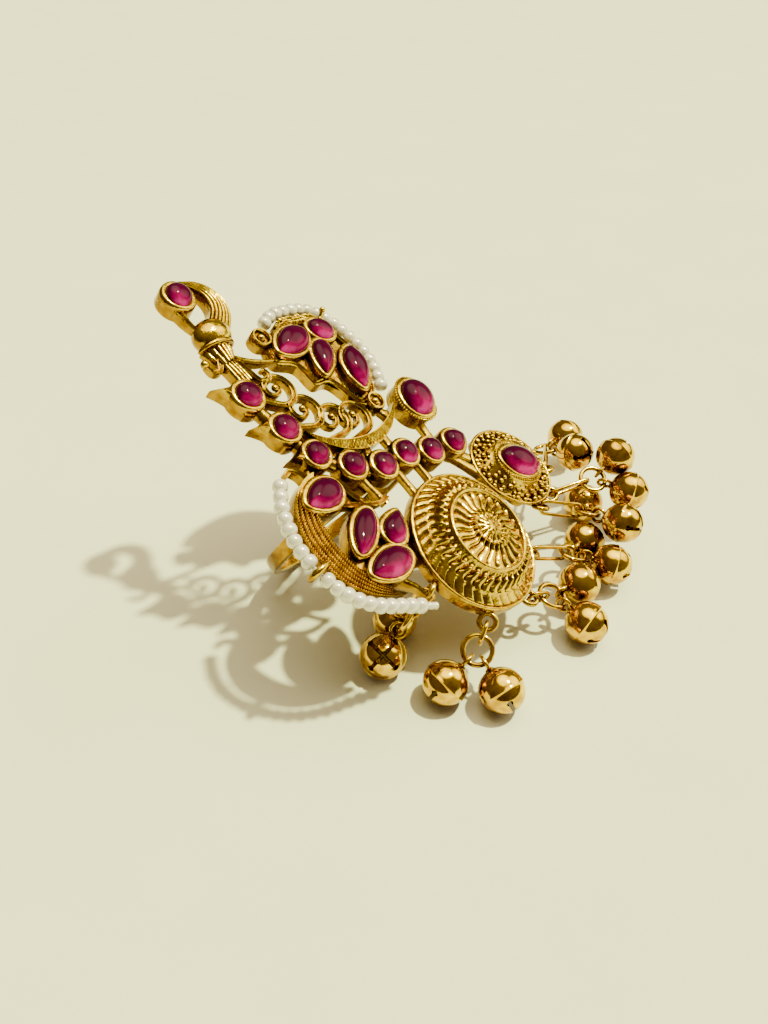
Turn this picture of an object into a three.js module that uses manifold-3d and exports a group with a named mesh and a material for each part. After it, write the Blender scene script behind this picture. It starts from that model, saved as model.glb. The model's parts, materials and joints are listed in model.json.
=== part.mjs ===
// Peacock finger ring: a cast openwork plate on a strip shank, set with smooth cabochons,
// edged with seed pearls and hung with small slit bells on jump rings.
// The ring lies on a table: the shank and the bells touch it, and the head points up.
import * as THREE from "three";
import { mergeVertices } from "three/addons/utils/BufferGeometryUtils.js";
import Module from "manifold-3d";

const wasm = await Module();
wasm.setup();
const rad = THREE.MathUtils.degToRad;
const mix = THREE.MathUtils.lerp;
const vec = (point) => new THREE.Vector3(...point);
const spot2 = (point) => new THREE.Vector2(...point);
const between = (a, b, share) => a.map((value, i) => mix(value, b[i], share));

// Driving dimensions, in millimetres
const SHANK = { radius: 9.5, thick: 0.9, width: 1.7, sides: 36, sunk: 0.4 };
const PLATE = { foot: 0.2, seat: 1.0, webTop: 1.2, reliefTop: 1.7, rimTop: 2.0, clear: 4.0 };
const STONE = { gap: 0.25, wall: 0.3, sides: 10, samples: 180 };
const DOME = { high: 0.38, shoulderOut: 0.72, shoulderUp: 0.68 };
const MEDALLION = { x: 3.4, y: -11.5, radius: 8.1, ribs: 20 };
const FLOWER = { x: 17.4, y: -7.6, long: 6.0, short: 5.0, turn: -38, lobes: 12, lobeSteps: 4, dip: 0.3 };
const GRAIN = { radius: 0.62, inset: 0.75 };
const FLOWER_CONE = { foot: 0.86, top: 0.62, low: 0.2, high: 2.4, sides: 14 };
const PEARL = { radius: 0.72, neck: 0.34, pitch: 1.16, sides: 10, shoulders: [0.3, 0.7], clear: 1.05 };
const BELL = { radius: 2.4, wall: 0.4, sides: 12, petals: 4, mouth: 165, slit: 135 };
const BELL_LOOP = { radius: 0.78, wire: 0.2, reach: 3.15, wireSides: 4, sides: 8 };
const BELL_RINGS = { outside: [0, 40, 80, 125], inside: [100, 0] };
const EYELET = { radius: 0.85, wire: 0.28, stand: 0.75, flowerStand: 0.5, height: 0.6 };
const JUMP = { radius: 1.5, wire: 0.28 };
const LINK = { halfWidth: 0.78, wire: 0.22, past: 0.8 };
const SCROLL = { turns: 1.35, points: 10, eye: 0.35, wire: 0.36, height: 1.15, steps: 14 };
const ROUND = { rodSides: 4, bandSides: 6, wireSides: 5, ringSides: 10, curveSteps: 4, arcSteps: 7 };
const WELD = 1e-4;

// How the plate leans on the table: it rises towards the head and rolls to the flower's side
const PITCH = rad(32.7);
const ROLL = rad(11.1);

// Stones, placed on the plate (x across the finger, y along it towards the head)
const STONES = [
  // name, x, y, turn in degrees, length, width, tip and tail sharpness, rise of the rim
  ["head", -8.45, 25.5, 0, 2.7, 2.7, 0, 0, 0],
  ["arc_1", -9.35, 13.1, 0, 2.8, 2.8, 0, 0, 0],
  ["arc_2", -8.15, 8.55, 0, 2.8, 2.8, 0, 0, 0],
  ["arc_3", -7.0, 4.75, 0, 2.6, 2.6, 0, 0, 0],
  ["arc_4", -3.95, 2.0, 0, 2.7, 2.7, 0, 0, 0],
  ["arc_5", -0.35, 0.4, 0, 2.7, 2.7, 0, 0, 0],
  ["arc_6", 3.5, 0.3, 0, 2.7, 2.7, 0, 0, 0],
  ["arc_7", 7.1, -0.9, 0, 2.7, 2.7, 0, 0, 0],
  ["arc_8", 11.25, -1.4, 0, 3.0, 2.7, 0.4, 0, 0],
  ["crest", 10.2, 4.9, 80, 4.6, 4.1, 0, 0, 0.4],
  ["flower", 17.2, -7.7, -38, 5.6, 3.8, 0.2, 0.2, 0.8],
  ["upper_1", 0.35, 16.8, 12, 5.0, 3.2, 0.2, 0.5, 0],
  ["upper_2", 5.1, 16.9, -35, 3.2, 2.5, 0, 0, 0],
  ["upper_3", 2.6, 13.8, 55, 4.6, 2.5, 0.1, 0.8, 0],
  ["upper_4", 5.85, 11.3, 68, 5.5, 3.0, 0.5, 0.8, 0],
  ["lower_1", -9.75, 0.9, 0, 4.6, 3.1, 0, 0.8, 0],
  ["lower_2", -8.5, -4.2, 36, 5.5, 2.5, 0.7, 0.2, 0],
  ["lower_3", -4.9, -5.5, 38, 3.9, 2.6, 0.9, 0.1, 0],
  ["lower_4", -8.3, -8.2, -6, 5.6, 3.0, 0.4, 0.8, 0],
].map(([name, x, y, turn, length, width, tip, tail, rise]) => (
  { name, x, y, turn, length, width, tip, tail, rise }
));

// Flame settings that point away from the arc: the stone's place, the turn and the size
const FLAMES = [
  { x: -9.35, y: 13.1, turn: 0, size: 1 },
  { x: -8.15, y: 8.55, turn: 11, size: 1 },
  { x: -7.0, y: 4.75, turn: 22, size: 0.9 },
];

// Outlines with curved sides: where each starts, then each side's end and the point that pulls it
const FLAME_OUTLINE = {
  start: [-3.0, 2.2],
  sides: [
    { to: [1.0, 2.0], pull: [-0.6, 1.7] },
    { to: [1.0, -1.7], pull: [2.4, 0.2] },
    { to: [-1.5, -1.5], pull: [-0.4, -2.4] },
    { to: [-3.0, 2.2], pull: [-2.2, 0.2] },
  ],
};
const PLUME_OUTLINE = {
  start: [-7.6, 27.1],
  sides: [
    { to: [-4.3, 25.6], pull: [-5.4, 27.2] },
    { to: [-4.4, 21.6], pull: [-2.9, 23.6] },
    { to: [-6.0, 19.9], pull: [-5.0, 20.8] },
    { to: [-7.2, 22.0] },
    { to: [-5.7, 24.7], pull: [-5.8, 23.3] },
    { to: [-6.9, 26.3], pull: [-5.7, 25.8] },
  ],
};

// The plume's barbs run between two edges of four points each; the shares place each barb
const PLUME_BARBS = {
  inner: [[-6.9, 26.3], [-5.8, 25.1], [-5.8, 23.8], [-6.9, 22.2]],
  outer: [[-7.2, 27.0], [-4.7, 25.7], [-4.0, 23.6], [-5.2, 21.2]],
  shares: [0.25, 0.6, 0.95],
  radius: 0.3,
};

// The head's cap, its band and the fluted collar below
const HEAD_CAP = { x: -7.7, y: 20.9, z: 1.1, halfSize: [1.75, 1.45, 1.3], across: 12, down: 7 };
const HEAD_BAND = { from: [-9.9, 19.6], to: [-6.0, 19.3], width: 0.55, high: 2.1 };
const COLLAR = {
  top: [[-9.7, 19.4], [-6.3, 19.2]],
  foot: [[-9.5, 17.3], [-7.2, 17.7]],
  high: 1.5,
  fluteShares: [0.1, 0.37, 0.63, 0.9],
  fluteRadius: 0.26,
};

// Scrolls inside the crescent: the foot, the eye, the angle where the winding starts, the outer radius
const SCROLLS = [
  { foot: [-7.9, 12.2], x: -5.3, y: 12.5, from: 215, radius: 1.9 },
  { foot: [-6.6, 8.3], x: -4.1, y: 9.3, from: 215, radius: 2.05 },
  { foot: [-4.2, 5.4], x: -1.5, y: 7.2, from: 228, radius: 2.0 },
  { foot: [-1.5, 4.2], x: 1.2, y: 6.4, from: 228, radius: 2.05 },
];

// Rods laid on the plate, in order: head hook, shoulder strap, neck ridge, neck curl, pearl hook,
// twig, twig fork and leaf hook
const RODS = [
  { radius: 0.36, height: 1.0, route: [[-8.9, 17.8], [-9.6, 16.9], [-10.4, 17.0], [-10.7, 17.9]] },
  { radius: 0.36, height: 1.3, route: [[-7.7, 17.6], [-6.0, 16.5], [-4.4, 15.9], [-2.6, 15.4]] },
  { radius: 0.3, height: 1.4, route: [[-8.4, 17.4], [-8.2, 16.0], [-8.3, 14.7]] },
  { radius: 0.36, height: 1.3,
    route: [[-7.6, 17.4], [-7.2, 15.6], [-6.7, 14.3], [-5.9, 14.0], [-5.6, 14.9]] },
  { radius: 0.42, height: 1.3, route: [[-9.9, 2.6], [-10.1, 3.8], [-10.9, 4.6], [-11.7, 4.4]] },
  { radius: 0.4, height: 1.1,
    route: [[-6.8, 1.6], [-6.2, -0.4], [-5.2, -2.0], [-3.6, -2.6], [-2.2, -2.4]] },
  { radius: 0.36, height: 1.1, route: [[-8.2, -0.7], [-6.6, -1.5], [-5.0, -2.1]] },
  { radius: 0.4, height: 1.0, route: [[-8.6, -9.4], [-7.6, -10.6], [-6.9, -11.6], [-6.6, -12.6]] },
];

// Straight struts between settings: both ends and the width
const STRUTS = [
  { from: [-9.5, 24.2], to: [-8.9, 21.0], width: 0.9 },
  { from: [-8.7, 3.8], to: [-9.2, 2.2], width: 1.2 },
  { from: [-3.3, 0.6], to: [-2.6, -3.0], width: 0.9 },
  { from: [1.6, -0.6], to: [1.8, -4.4], width: 1.1 },
  { from: [4.9, -0.4], to: [5.0, -4.4], width: 1.1 },
  { from: [9.2, -1.0], to: [12.4, -6.2], width: 1.3 },
  { from: [9.6, 3.2], to: [9.3, -1.0], width: 1.4 },
  { from: [11.4, -2.6], to: [13.4, -5.0], width: 1.5 },
  { from: [-5.9, -9.2], to: [-3.6, -9.6], width: 1.6 },
  { from: [4.6, 7.4], to: [6.0, 5.1], width: 1.2 },
  { from: [-3.8, 2.8], to: [-3.2, 4.2], width: 1.6 },
  { from: [-0.3, 1.6], to: [0.0, 3.3], width: 1.6 },
  { from: [3.4, 1.6], to: [3.2, 3.6], width: 1.4 },
];

// Routes of the two pearl strings on the plate, from end to end, and their heights
const STRINGS = {
  upper: {
    height: 1.3,
    route: [[-1.2, 19.8], [0.9, 20.6], [3.5, 20.5], [6.0, 19.8], [7.8, 17.8], [8.8, 15.2], [9.2, 12.7],
      [8.7, 10.2], [7.6, 7.9]],
  },
  lower: {
    height: 1.5,
    route: [[-12.7, 4.2], [-14.6, 1.7], [-15.75, -1.4], [-15.75, -4.6], [-14.75, -8.0], [-12.8, -10.4],
      [-10.4, -11.9], [-7.9, -13.4]],
  },
};

// The webs under the wings' stones, and the lips that hold the upper pearl string's ends
const UPPER_WEB = {
  corners: [[-2.6, 18.2], [-3.2, 15.4], [-1.0, 14.0], [-0.4, 11.4], [1.5, 11.0], [3.2, 7.4], [5.0, 6.6]],
  edgeSteps: 12,
};
const LIPS = { places: [[-2.8, 18.4], [5.0, 6.9]], radius: 1.15, low: PLATE.foot, high: PLATE.rimTop };
const LOWER_WEB = [[-11.6, -6.4], [-10.4, -9.2], [-6.2, -9.6], [-4.0, -7.2], [-4.6, -4.6], [-8.4, -3.4]];

// Crescents between two circles that meet at the horns: the turn points to the gap between the horns
const FEATHERS = { x: -7.05, y: -4.0, turn: 0, outer: 7.55, inner: 10.0, shift: 5.05 };
const MOON = { x: 0.7, y: 10.4, turn: 83.5, outer: 7.75, inner: 10.24, shift: 3.89, low: 0.3, high: 1.8 };
const FEATHER_RIDGES = [
  { radius: 7.2, angles: [132, 156, 180, 205, 228], wire: 0.26 },
  { radius: 6.5, angles: [140, 160, 180, 201, 222], wire: 0.26 },
  { radius: 5.8, angles: [150, 165, 180, 197, 215], wire: 0.26 },
];

// The band under the row of small stones and its run up to the flames
const BAND = { radius: 0.8, height: 0.85, rowFrom: "arc_3", run: [[-9.2, 12.0], [-8.2, 9.0], [-7.2, 5.0]] };

// The medallion's profile, from the hollow underside round the rim to the boss
const MEDALLION_PROFILE = [
  // radius, height, ribbing
  [0, 3.3, 0], [7.2, 0.4, 0], [8.1, 0.4, 0], [8.1, 1.8, 0], [7.5, 2.0, 0.22],
  [6.2, 2.9, 0.22], [5.3, 3.6, -0.22], [4.9, 4.2, 0], [4.5, 3.9, 0.16], [1.7, 4.4, 0.16], [0, 4.9, 0],
];

// Bells in pairs: where their eyelet sits on a rim, and each bell's centre over the table.
// A rest in the height column is a bell that lies on the table.
const rest = BELL.radius;
const CHAINS = [
  // name, rim, angle on the rim in degrees, first bell, second bell
  ["left", "medallion", 187, [-7.6, -13.9, rest], [-3.1, -11.5, rest]],
  ["front", "medallion", 235, [-6.0, -20.9, rest], [-2.9, -25.7, rest]],
  ["corner", "medallion", 285, [10.5, -27.1, rest], [14.6, -23.5, 3.0]],
  ["right", "medallion", 325, [19.6, -24.6, 3.0], [21.6, -19.8, rest]],
  ["petal_1", "flower", 305, [24.2, -22.9, 5.4], [27.3, -16.0, 2.6]],
  ["petal_2", "flower", 335, [29.7, -20.5, 5.6], [32.0, -16.8, 7.8]],
  ["petal_3", "flower", 15, [30.8, -11.9, 6.6], [35.6, -7.7, 4.4]],
].map(([name, rim, angle, first, second]) => ({ name, rim, angle, bells: [vec(first), vec(second)] }));

// Finishes
const finish = (color, roughness, metalness) =>
  new THREE.MeshStandardMaterial({ color, roughness, metalness });
const CAST_GOLD = finish(0xc89b3c, 0.35, 1);
const BRIGHT_GOLD = finish(0xe0a92e, 0.15, 1);
const RUBY = finish(0xa3104f, 0.08, 0);
const PEARL_WHITE = finish(0xf1ece2, 0.25, 0);

// A closed geometry as a solid that can be joined and cut
function solid(geometry) {
  const bare = geometry.index ? geometry.toNonIndexed() : geometry.clone();
  bare.deleteAttribute("normal");
  bare.deleteAttribute("uv");
  const merged = mergeVertices(bare, WELD);
  const triangles = [];
  for (let i = 0; i < merged.index.count; i += 3) {
    const [a, b, c] = [0, 1, 2].map((k) => merged.index.getX(i + k));
    if (a !== b && b !== c && c !== a) triangles.push(a, b, c);
  }
  const vertProperties = merged.attributes.position.array;
  const triVerts = Uint32Array.from(triangles);
  return new wasm.Manifold(new wasm.Mesh({ numProp: 3, vertProperties, triVerts }));
}

const joined = (geometries) => geometries.map(solid).reduce((whole, piece) => whole.add(piece));

function geometryOf(body) {
  const mesh = body.getMesh();
  const geometry = new THREE.BufferGeometry();
  geometry.setAttribute("position", new THREE.BufferAttribute(mesh.vertProperties, 3));
  geometry.setIndex(new THREE.BufferAttribute(mesh.triVerts, 1));
  geometry.computeVertexNormals();
  return geometry;
}

// A flat shape raised from one height to another
function slab(shape, low, high, curveSegments = ROUND.curveSteps) {
  const settings = { depth: high - low, bevelEnabled: false, curveSegments };
  return new THREE.ExtrudeGeometry(shape, settings).translate(0, 0, low);
}

// A shape from a starting point and a list of straight or pulled sides
function outline({ start, sides }) {
  const shape = new THREE.Shape().moveTo(...start);
  for (const { to, pull } of sides) {
    if (pull) shape.quadraticCurveTo(...pull, ...to);
    else shape.lineTo(...to);
  }
  return shape;
}

// A regular polygon of the given number of sides
function polygon(radius, sides) {
  const corners = Array.from({ length: sides }, (_, i) => rad((360 * (i + 0.5)) / sides));
  return new THREE.Shape(corners.map((t) => new THREE.Vector2(radius * Math.cos(t), radius * Math.sin(t))));
}

const flatCurve = (route, height) =>
  new THREE.CatmullRomCurve3(route.map(([x, y]) => vec([x, y, height])), false, "centripetal");

// A round rod along a smooth route on the plate
function rod(route, radius, height, sides = ROUND.rodSides, steps = 2 * (route.length - 1)) {
  const extrudePath = flatCurve(route, height);
  return new THREE.ExtrudeGeometry(polygon(radius, sides), { steps, extrudePath, bevelEnabled: false });
}

// A straight bar on the plate
function bar({ from, to, width }, low, high) {
  const [start, end] = [spot2(from), spot2(to)];
  const along = end.clone().sub(start);
  const middle = start.add(end).multiplyScalar(0.5);
  return new THREE.BoxGeometry(along.length(), width, high - low)
    .rotateZ(along.angle())
    .translate(middle.x, middle.y, (low + high) / 2);
}

// One point of a stone's outline: an oval whose ends are drawn to a point by tip and tail
function outlinePoint(stone, angle, grow) {
  const swell = (t) =>
    Math.sin(t) * Math.abs(Math.sin(t / 2)) ** stone.tip * Math.abs(Math.cos(t / 2)) ** stone.tail;
  const samples = Array.from({ length: STONE.samples }, (_, i) => swell((Math.PI * i) / STONE.samples));
  const across = swell(angle) / Math.max(...samples);
  return new THREE.Vector2((stone.length / 2 + grow) * Math.cos(angle), (stone.width / 2 + grow) * across);
}

// A pillar with a stone's outline, grown all round and set in its place on the plate
function stonePillar(stone, grow, low, high) {
  const angles = Array.from({ length: STONE.sides }, (_, i) => rad((360 * i) / STONE.sides));
  const shape = new THREE.Shape(angles.map((angle) => outlinePoint(stone, angle, grow)));
  return slab(shape, low, high).rotateZ(rad(stone.turn)).translate(stone.x, stone.y, 0);
}

// A cabochon: a flat-backed dome turned once and then drawn to the stone's outline
function cabochon(stone) {
  const rim = PLATE.rimTop + stone.rise;
  const base = PLATE.seat + stone.rise + STONE.gap;
  const top = rim + DOME.high * stone.width;
  const shoulder = [DOME.shoulderOut, mix(rim, top, DOME.shoulderUp)];
  const profile = [[0, base], [1, base], [1, rim], shoulder, [0, top]];
  const dome = new THREE.LatheGeometry(profile.map(spot2), STONE.sides, Math.PI / 2);
  dome.rotateX(Math.PI / 2);
  const spots = dome.attributes.position;
  for (let i = 0; i < spots.count; i++) {
    const [x, y] = [spots.getX(i), spots.getY(i)];
    const spot = outlinePoint(stone, Math.atan2(y, x), 0).multiplyScalar(Math.hypot(x, y));
    spots.setXY(i, spot.x, spot.y);
  }
  return dome.rotateZ(rad(stone.turn));
}

// A flame-shaped setting plate round a stone, with its tip up and to the left
function flame({ x, y, turn, size }) {
  return slab(outline(FLAME_OUTLINE), PLATE.foot, MOON.high)
    .scale(size, size, 1)
    .rotateZ(rad(turn))
    .translate(x, y, 0);
}

// A crescent between two circular arcs that meet at its horns
function crescent({ x, y, turn, outer, inner, shift }, low, high) {
  const meet = Math.acos((outer ** 2 + shift ** 2 - inner ** 2) / (2 * outer * shift));
  const innerMeet = Math.atan2(outer * Math.sin(meet), outer * Math.cos(meet) - shift);
  const shape = new THREE.Shape();
  shape.absarc(0, 0, outer, meet, 2 * Math.PI - meet, false);
  shape.absarc(shift, 0, inner, 2 * Math.PI - innerMeet, innerMeet, true);
  return slab(shape, low, high, ROUND.arcSteps).rotateZ(rad(turn)).translate(x, y, 0);
}

// A scroll: a stem from its foot that winds inwards to the eye
function scroll({ foot, x, y, from, radius }) {
  const winding = Array.from({ length: SCROLL.points + 1 }, (_, i) => {
    const share = i / SCROLL.points;
    const reach = radius * (SCROLL.eye / radius) ** share;
    const angle = rad(from + 360 * SCROLL.turns * share);
    return [x + reach * Math.cos(angle), y + reach * Math.sin(angle)];
  });
  return rod([foot, ...winding], SCROLL.wire, SCROLL.height, ROUND.rodSides, SCROLL.steps);
}

// The plume that curls over the head stone, with raised barbs
function plume() {
  const { inner, outer, shares, radius } = PLUME_BARBS;
  const barbs = shares.map((share) => {
    const route = inner.map((spot, i) => between(spot, outer[i], share));
    return rod(route, radius, PLATE.reliefTop);
  });
  return [slab(outline(PLUME_OUTLINE), PLATE.foot, PLATE.reliefTop), ...barbs];
}

// The smooth cap under the plume, its band and the fluted collar below
function head() {
  const { x, y, z, halfSize, across, down } = HEAD_CAP;
  const cap = new THREE.SphereGeometry(1, across, down).scale(...halfSize).translate(x, y, z);
  const { top, foot, high, fluteShares, fluteRadius } = COLLAR;
  const collar = new THREE.Shape([top[0], ...foot, top[1]].map(spot2));
  const flutes = fluteShares.map((share) => {
    const [start, end] = [top, foot].map(([left, right]) => between(left, right, share));
    return rod([start, end], fluteRadius, high);
  });
  return [cap, bar(HEAD_BAND, PLATE.foot, HEAD_BAND.high), slab(collar, PLATE.foot, high), ...flutes];
}

// The upper wing's web, which follows its pearl string at a small distance, and the lips
function upperWing() {
  const string = flatCurve(STRINGS.upper.route, 0);
  const { corners, edgeSteps } = UPPER_WEB;
  const edge = Array.from({ length: edgeSteps + 1 }, (_, i) => {
    const share = 1 - i / edgeSteps;
    const [spot, tangent] = [string.getPointAt(share), string.getTangentAt(share)];
    return [spot.x + PEARL.clear * tangent.y, spot.y - PEARL.clear * tangent.x];
  });
  const web = new THREE.Shape([...corners, ...edge].map(spot2));
  const { places, radius, low, high } = LIPS;
  const lips = places.map(([x, y]) =>
    new THREE.CylinderGeometry(radius, radius, high - low, ROUND.ringSides)
      .rotateX(Math.PI / 2)
      .translate(x, y, (low + high) / 2));
  return [slab(web, 0, PLATE.webTop), ...lips];
}

// The lower wing: a crescent of ridged feathers and the web under its three lower stones
function lowerWing() {
  const ridges = FEATHER_RIDGES.map(({ radius, angles, wire }) => {
    const route = angles.map((angle) =>
      [FEATHERS.x + radius * Math.cos(rad(angle)), FEATHERS.y + radius * Math.sin(rad(angle))]);
    return rod(route, wire, PLATE.reliefTop);
  });
  const web = new THREE.Shape(LOWER_WEB.map(spot2));
  return [crescent(FEATHERS, 0, PLATE.reliefTop), slab(web, 0, PLATE.webTop), ...ridges];
}

// The domed medallion: a shell with a rim, ribs, a raised ring and a boss
function medallion() {
  const profile = MEDALLION_PROFILE.map(([r, h]) => new THREE.Vector2(r, h));
  const dome = new THREE.LatheGeometry(profile, 2 * MEDALLION.ribs);
  const spots = dome.attributes.position;
  for (let i = 0; i < spots.count; i++) {
    const ribbing = MEDALLION_PROFILE[i % profile.length][2];
    const onRidge = Math.floor(i / profile.length) % 2 === 0;
    spots.setY(i, spots.getY(i) + (onRidge ? ribbing : -ribbing) / 2);
  }
  return dome.rotateX(Math.PI / 2).translate(MEDALLION.x, MEDALLION.y, 0);
}

// A point on the flower's oval, grown by a distance
function flowerPoint(angle, grow) {
  const { x, y, long, short, turn } = FLOWER;
  const spot = new THREE.Vector2((long + grow) * Math.cos(angle), (short + grow) * Math.sin(angle));
  return spot.rotateAround(new THREE.Vector2(), rad(turn)).add(new THREE.Vector2(x, y));
}

// The flower: a scalloped oval with a grain on each lobe and a cone up to the stone's rim
function flower() {
  const steps = FLOWER.lobeSteps * FLOWER.lobes;
  const edge = Array.from({ length: steps }, (_, i) => {
    const angle = rad((360 * i) / steps);
    return flowerPoint(angle, FLOWER.dip * (Math.cos(FLOWER.lobes * angle) - 1));
  });
  const { foot, top, low, high, sides } = FLOWER_CONE;
  const cone = new THREE.CylinderGeometry(top, foot, high - low, sides)
    .rotateX(Math.PI / 2)
    .scale(FLOWER.long, FLOWER.short, 1)
    .rotateZ(rad(FLOWER.turn))
    .translate(FLOWER.x, FLOWER.y, (low + high) / 2);
  const grains = Array.from({ length: FLOWER.lobes }, (_, i) => {
    const spot = flowerPoint(rad((360 * i) / FLOWER.lobes), -GRAIN.inset);
    return new THREE.IcosahedronGeometry(GRAIN.radius, 0).translate(spot.x, spot.y, PLATE.webTop);
  });
  return [slab(new THREE.Shape(edge), PLATE.foot, PLATE.webTop), cone, ...grains];
}

// The band that carries the row of small stones, and the crescent moon above it
function bandAndMoon() {
  const row = STONES.filter(({ name }) => name.startsWith("arc_") && name >= BAND.rowFrom);
  const routes = [row.map(({ x, y }) => [x, y]), BAND.run];
  const bands = routes.map((route) => rod(route, BAND.radius, BAND.height, ROUND.bandSides));
  return [...bands, crescent(MOON, MOON.low, MOON.high)];
}

// The openwork plate as one casting, with the stones' pockets cut into it
function castPlate() {
  const bosses = STONES.map((stone) =>
    stonePillar(stone, STONE.gap + STONE.wall, 0, PLATE.rimTop + stone.rise));
  const pockets = STONES.map((stone) =>
    stonePillar(stone, STONE.gap, PLATE.seat + stone.rise, PLATE.clear + stone.rise));
  const raised = [
    ...bosses, ...FLAMES.map(flame), ...SCROLLS.map(scroll), ...plume(), ...head(), ...upperWing(),
    ...lowerWing(), ...flower(), ...bandAndMoon(), medallion(),
    ...RODS.map(({ route, radius, height }) => rod(route, radius, height)),
    ...STRUTS.map((strut) => bar(strut, 0, PLATE.webTop)),
  ];
  return geometryOf(joined(raised).subtract(joined(pockets)));
}

// The strip shank: a round loop on the finger's axis, with a flat facet at its lowest point
function shank() {
  const start = Math.PI / SHANK.sides;
  const circle = (path, radius) => path.absarc(0, 0, radius, start, start + 2 * Math.PI);
  const shape = circle(new THREE.Shape(), SHANK.radius);
  shape.holes.push(circle(new THREE.Path(), SHANK.radius - SHANK.thick));
  return slab(shape, -SHANK.width / 2, SHANK.width / 2, SHANK.sides / 2).rotateX(Math.PI / 2 + PITCH);
}

// Placing: the shank's centre stands over the origin, and the plate's back is let into the shank
const shankLow = SHANK.radius * Math.cos(Math.PI / SHANK.sides);
const shankHeight = shankLow * Math.cos(PITCH) + (SHANK.width / 2) * Math.sin(PITCH);
const lean = new THREE.Matrix4().makeRotationX(PITCH).multiply(new THREE.Matrix4().makeRotationY(ROLL));
const plateBack = new THREE.Vector3(0, 0, SHANK.radius - SHANK.sunk).applyMatrix4(lean);
const platePlace = lean.clone().setPosition(plateBack.x, plateBack.y, plateBack.z + shankHeight);

// The way a chain hangs: its eyelet and jump ring lie in one plane with the bells, and the link
// stands across it
function hang({ rim, angle, bells }) {
  const turn = rad(angle);
  const grow = MEDALLION.radius + EYELET.stand;
  const spot = rim === "flower"
    ? flowerPoint(turn, EYELET.flowerStand)
    : new THREE.Vector2(MEDALLION.x + grow * Math.cos(turn), MEDALLION.y + grow * Math.sin(turn));
  const eyelet = new THREE.Vector3(spot.x, spot.y, EYELET.height).applyMatrix4(platePlace);
  const middle = bells[0].clone().add(bells[1]).multiplyScalar(0.5);
  const across = bells[1].clone().sub(bells[0]);
  const half = across.length() / 2;
  across.normalize();
  const upward = eyelet.clone().sub(middle);
  upward.addScaledVector(across, -upward.dot(across)).normalize();
  const rise = Math.sqrt((JUMP.radius + BELL_LOOP.reach) ** 2 - half ** 2);
  const ring = middle.clone().addScaledVector(upward, rise);
  const ringAxis = across.clone().cross(upward);
  const along = eyelet.clone().sub(ring);
  const linkSpan = along.length() - JUMP.radius;
  along.normalize();
  return { eyelet, ring, ringAxis, along, linkAxis: ringAxis.clone().cross(along), linkSpan };
}

// A turn that carries the x axis to one direction and the z axis to another, square to it
function facing(xAxis, zAxis) {
  const yAxis = zAxis.clone().cross(xAxis);
  return new THREE.Matrix4().makeBasis(xAxis, yAxis, zAxis);
}

const wireRing = (radius, wire) => new THREE.TorusGeometry(radius, wire, ROUND.wireSides, ROUND.ringSides);

// A long link: a wire ring drawn out along x, from the jump ring to the eyelet
function longLink(span) {
  const straight = (span + LINK.past) / 2 - LINK.halfWidth;
  const link = wireRing(LINK.halfWidth, LINK.wire);
  const spots = link.attributes.position;
  for (let i = 0; i < spots.count; i++) spots.setX(i, spots.getX(i) + Math.sign(spots.getX(i)) * straight);
  return link;
}

// A bell: a hollow ball whose mouth is slit into petals, with a wire loop on top along z
function bell() {
  const inner = BELL.radius - BELL.wall;
  const outside = BELL_RINGS.outside.map((polar) => ({ radius: BELL.radius, polar }));
  const inside = BELL_RINGS.inside.map((polar) => ({ radius: inner, polar }));
  const mouth = [BELL.radius, inner].map((radius) => ({ radius, polar: BELL.mouth, slit: BELL.slit }));
  const profile = [...outside, ...mouth, ...inside].toReversed();
  const turned = profile.map(({ radius, polar }) =>
    new THREE.Vector2(radius * Math.sin(rad(polar)), radius * Math.cos(rad(polar))));
  const ball = new THREE.LatheGeometry(turned, BELL.sides);
  const spots = ball.attributes.position;
  const spread = Math.sin(rad(BELL.slit)) / Math.sin(rad(BELL.mouth));
  for (let i = 0; i < spots.count; i++) {
    const { radius, slit } = profile[i % profile.length];
    const column = Math.floor(i / profile.length);
    if (slit && column % (BELL.sides / BELL.petals) === 0) {
      spots.setXYZ(i, spread * spots.getX(i), radius * Math.cos(rad(slit)), spread * spots.getZ(i));
    }
  }
  const { radius, wire, wireSides, sides, reach } = BELL_LOOP;
  const loop = new THREE.TorusGeometry(radius, wire, wireSides, sides);
  loop.rotateY(Math.PI / 2).translate(0, 0, reach);
  return geometryOf(joined([ball.rotateX(Math.PI / 2), loop]));
}

// A string of pearls: a straight beaded bar, turned and then bent along its route
function pearlString({ route, height }) {
  const curve = flatCurve(route, height);
  const count = Math.round(curve.getLength() / PEARL.pitch);
  const bead = [[0, PEARL.neck], ...PEARL.shoulders.map((at) => [at, PEARL.radius])];
  const beads = Array.from({ length: count }, (_, i) => bead.map(([at, r]) => [r, (i + at) / count]));
  const turned = [[0, 0], ...beads.flat(), [PEARL.neck, 1], [0, 1]].map(spot2);
  const string = new THREE.LatheGeometry(turned, PEARL.sides);
  const spots = string.attributes.position;
  const up = new THREE.Vector3(0, 0, 1);
  for (let i = 0; i < spots.count; i++) {
    const share = spots.getY(i);
    const side = curve.getTangentAt(share).cross(up);
    const spot = curve.getPointAt(share);
    spot.addScaledVector(side, spots.getX(i)).addScaledVector(up, spots.getZ(i));
    spots.setXYZ(i, spot.x, spot.y, spot.z);
  }
  return geometryOf(solid(string));
}

function mesh(name, geometry, material) {
  const piece = new THREE.Mesh(geometry, material);
  piece.name = name;
  return piece;
}

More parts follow.
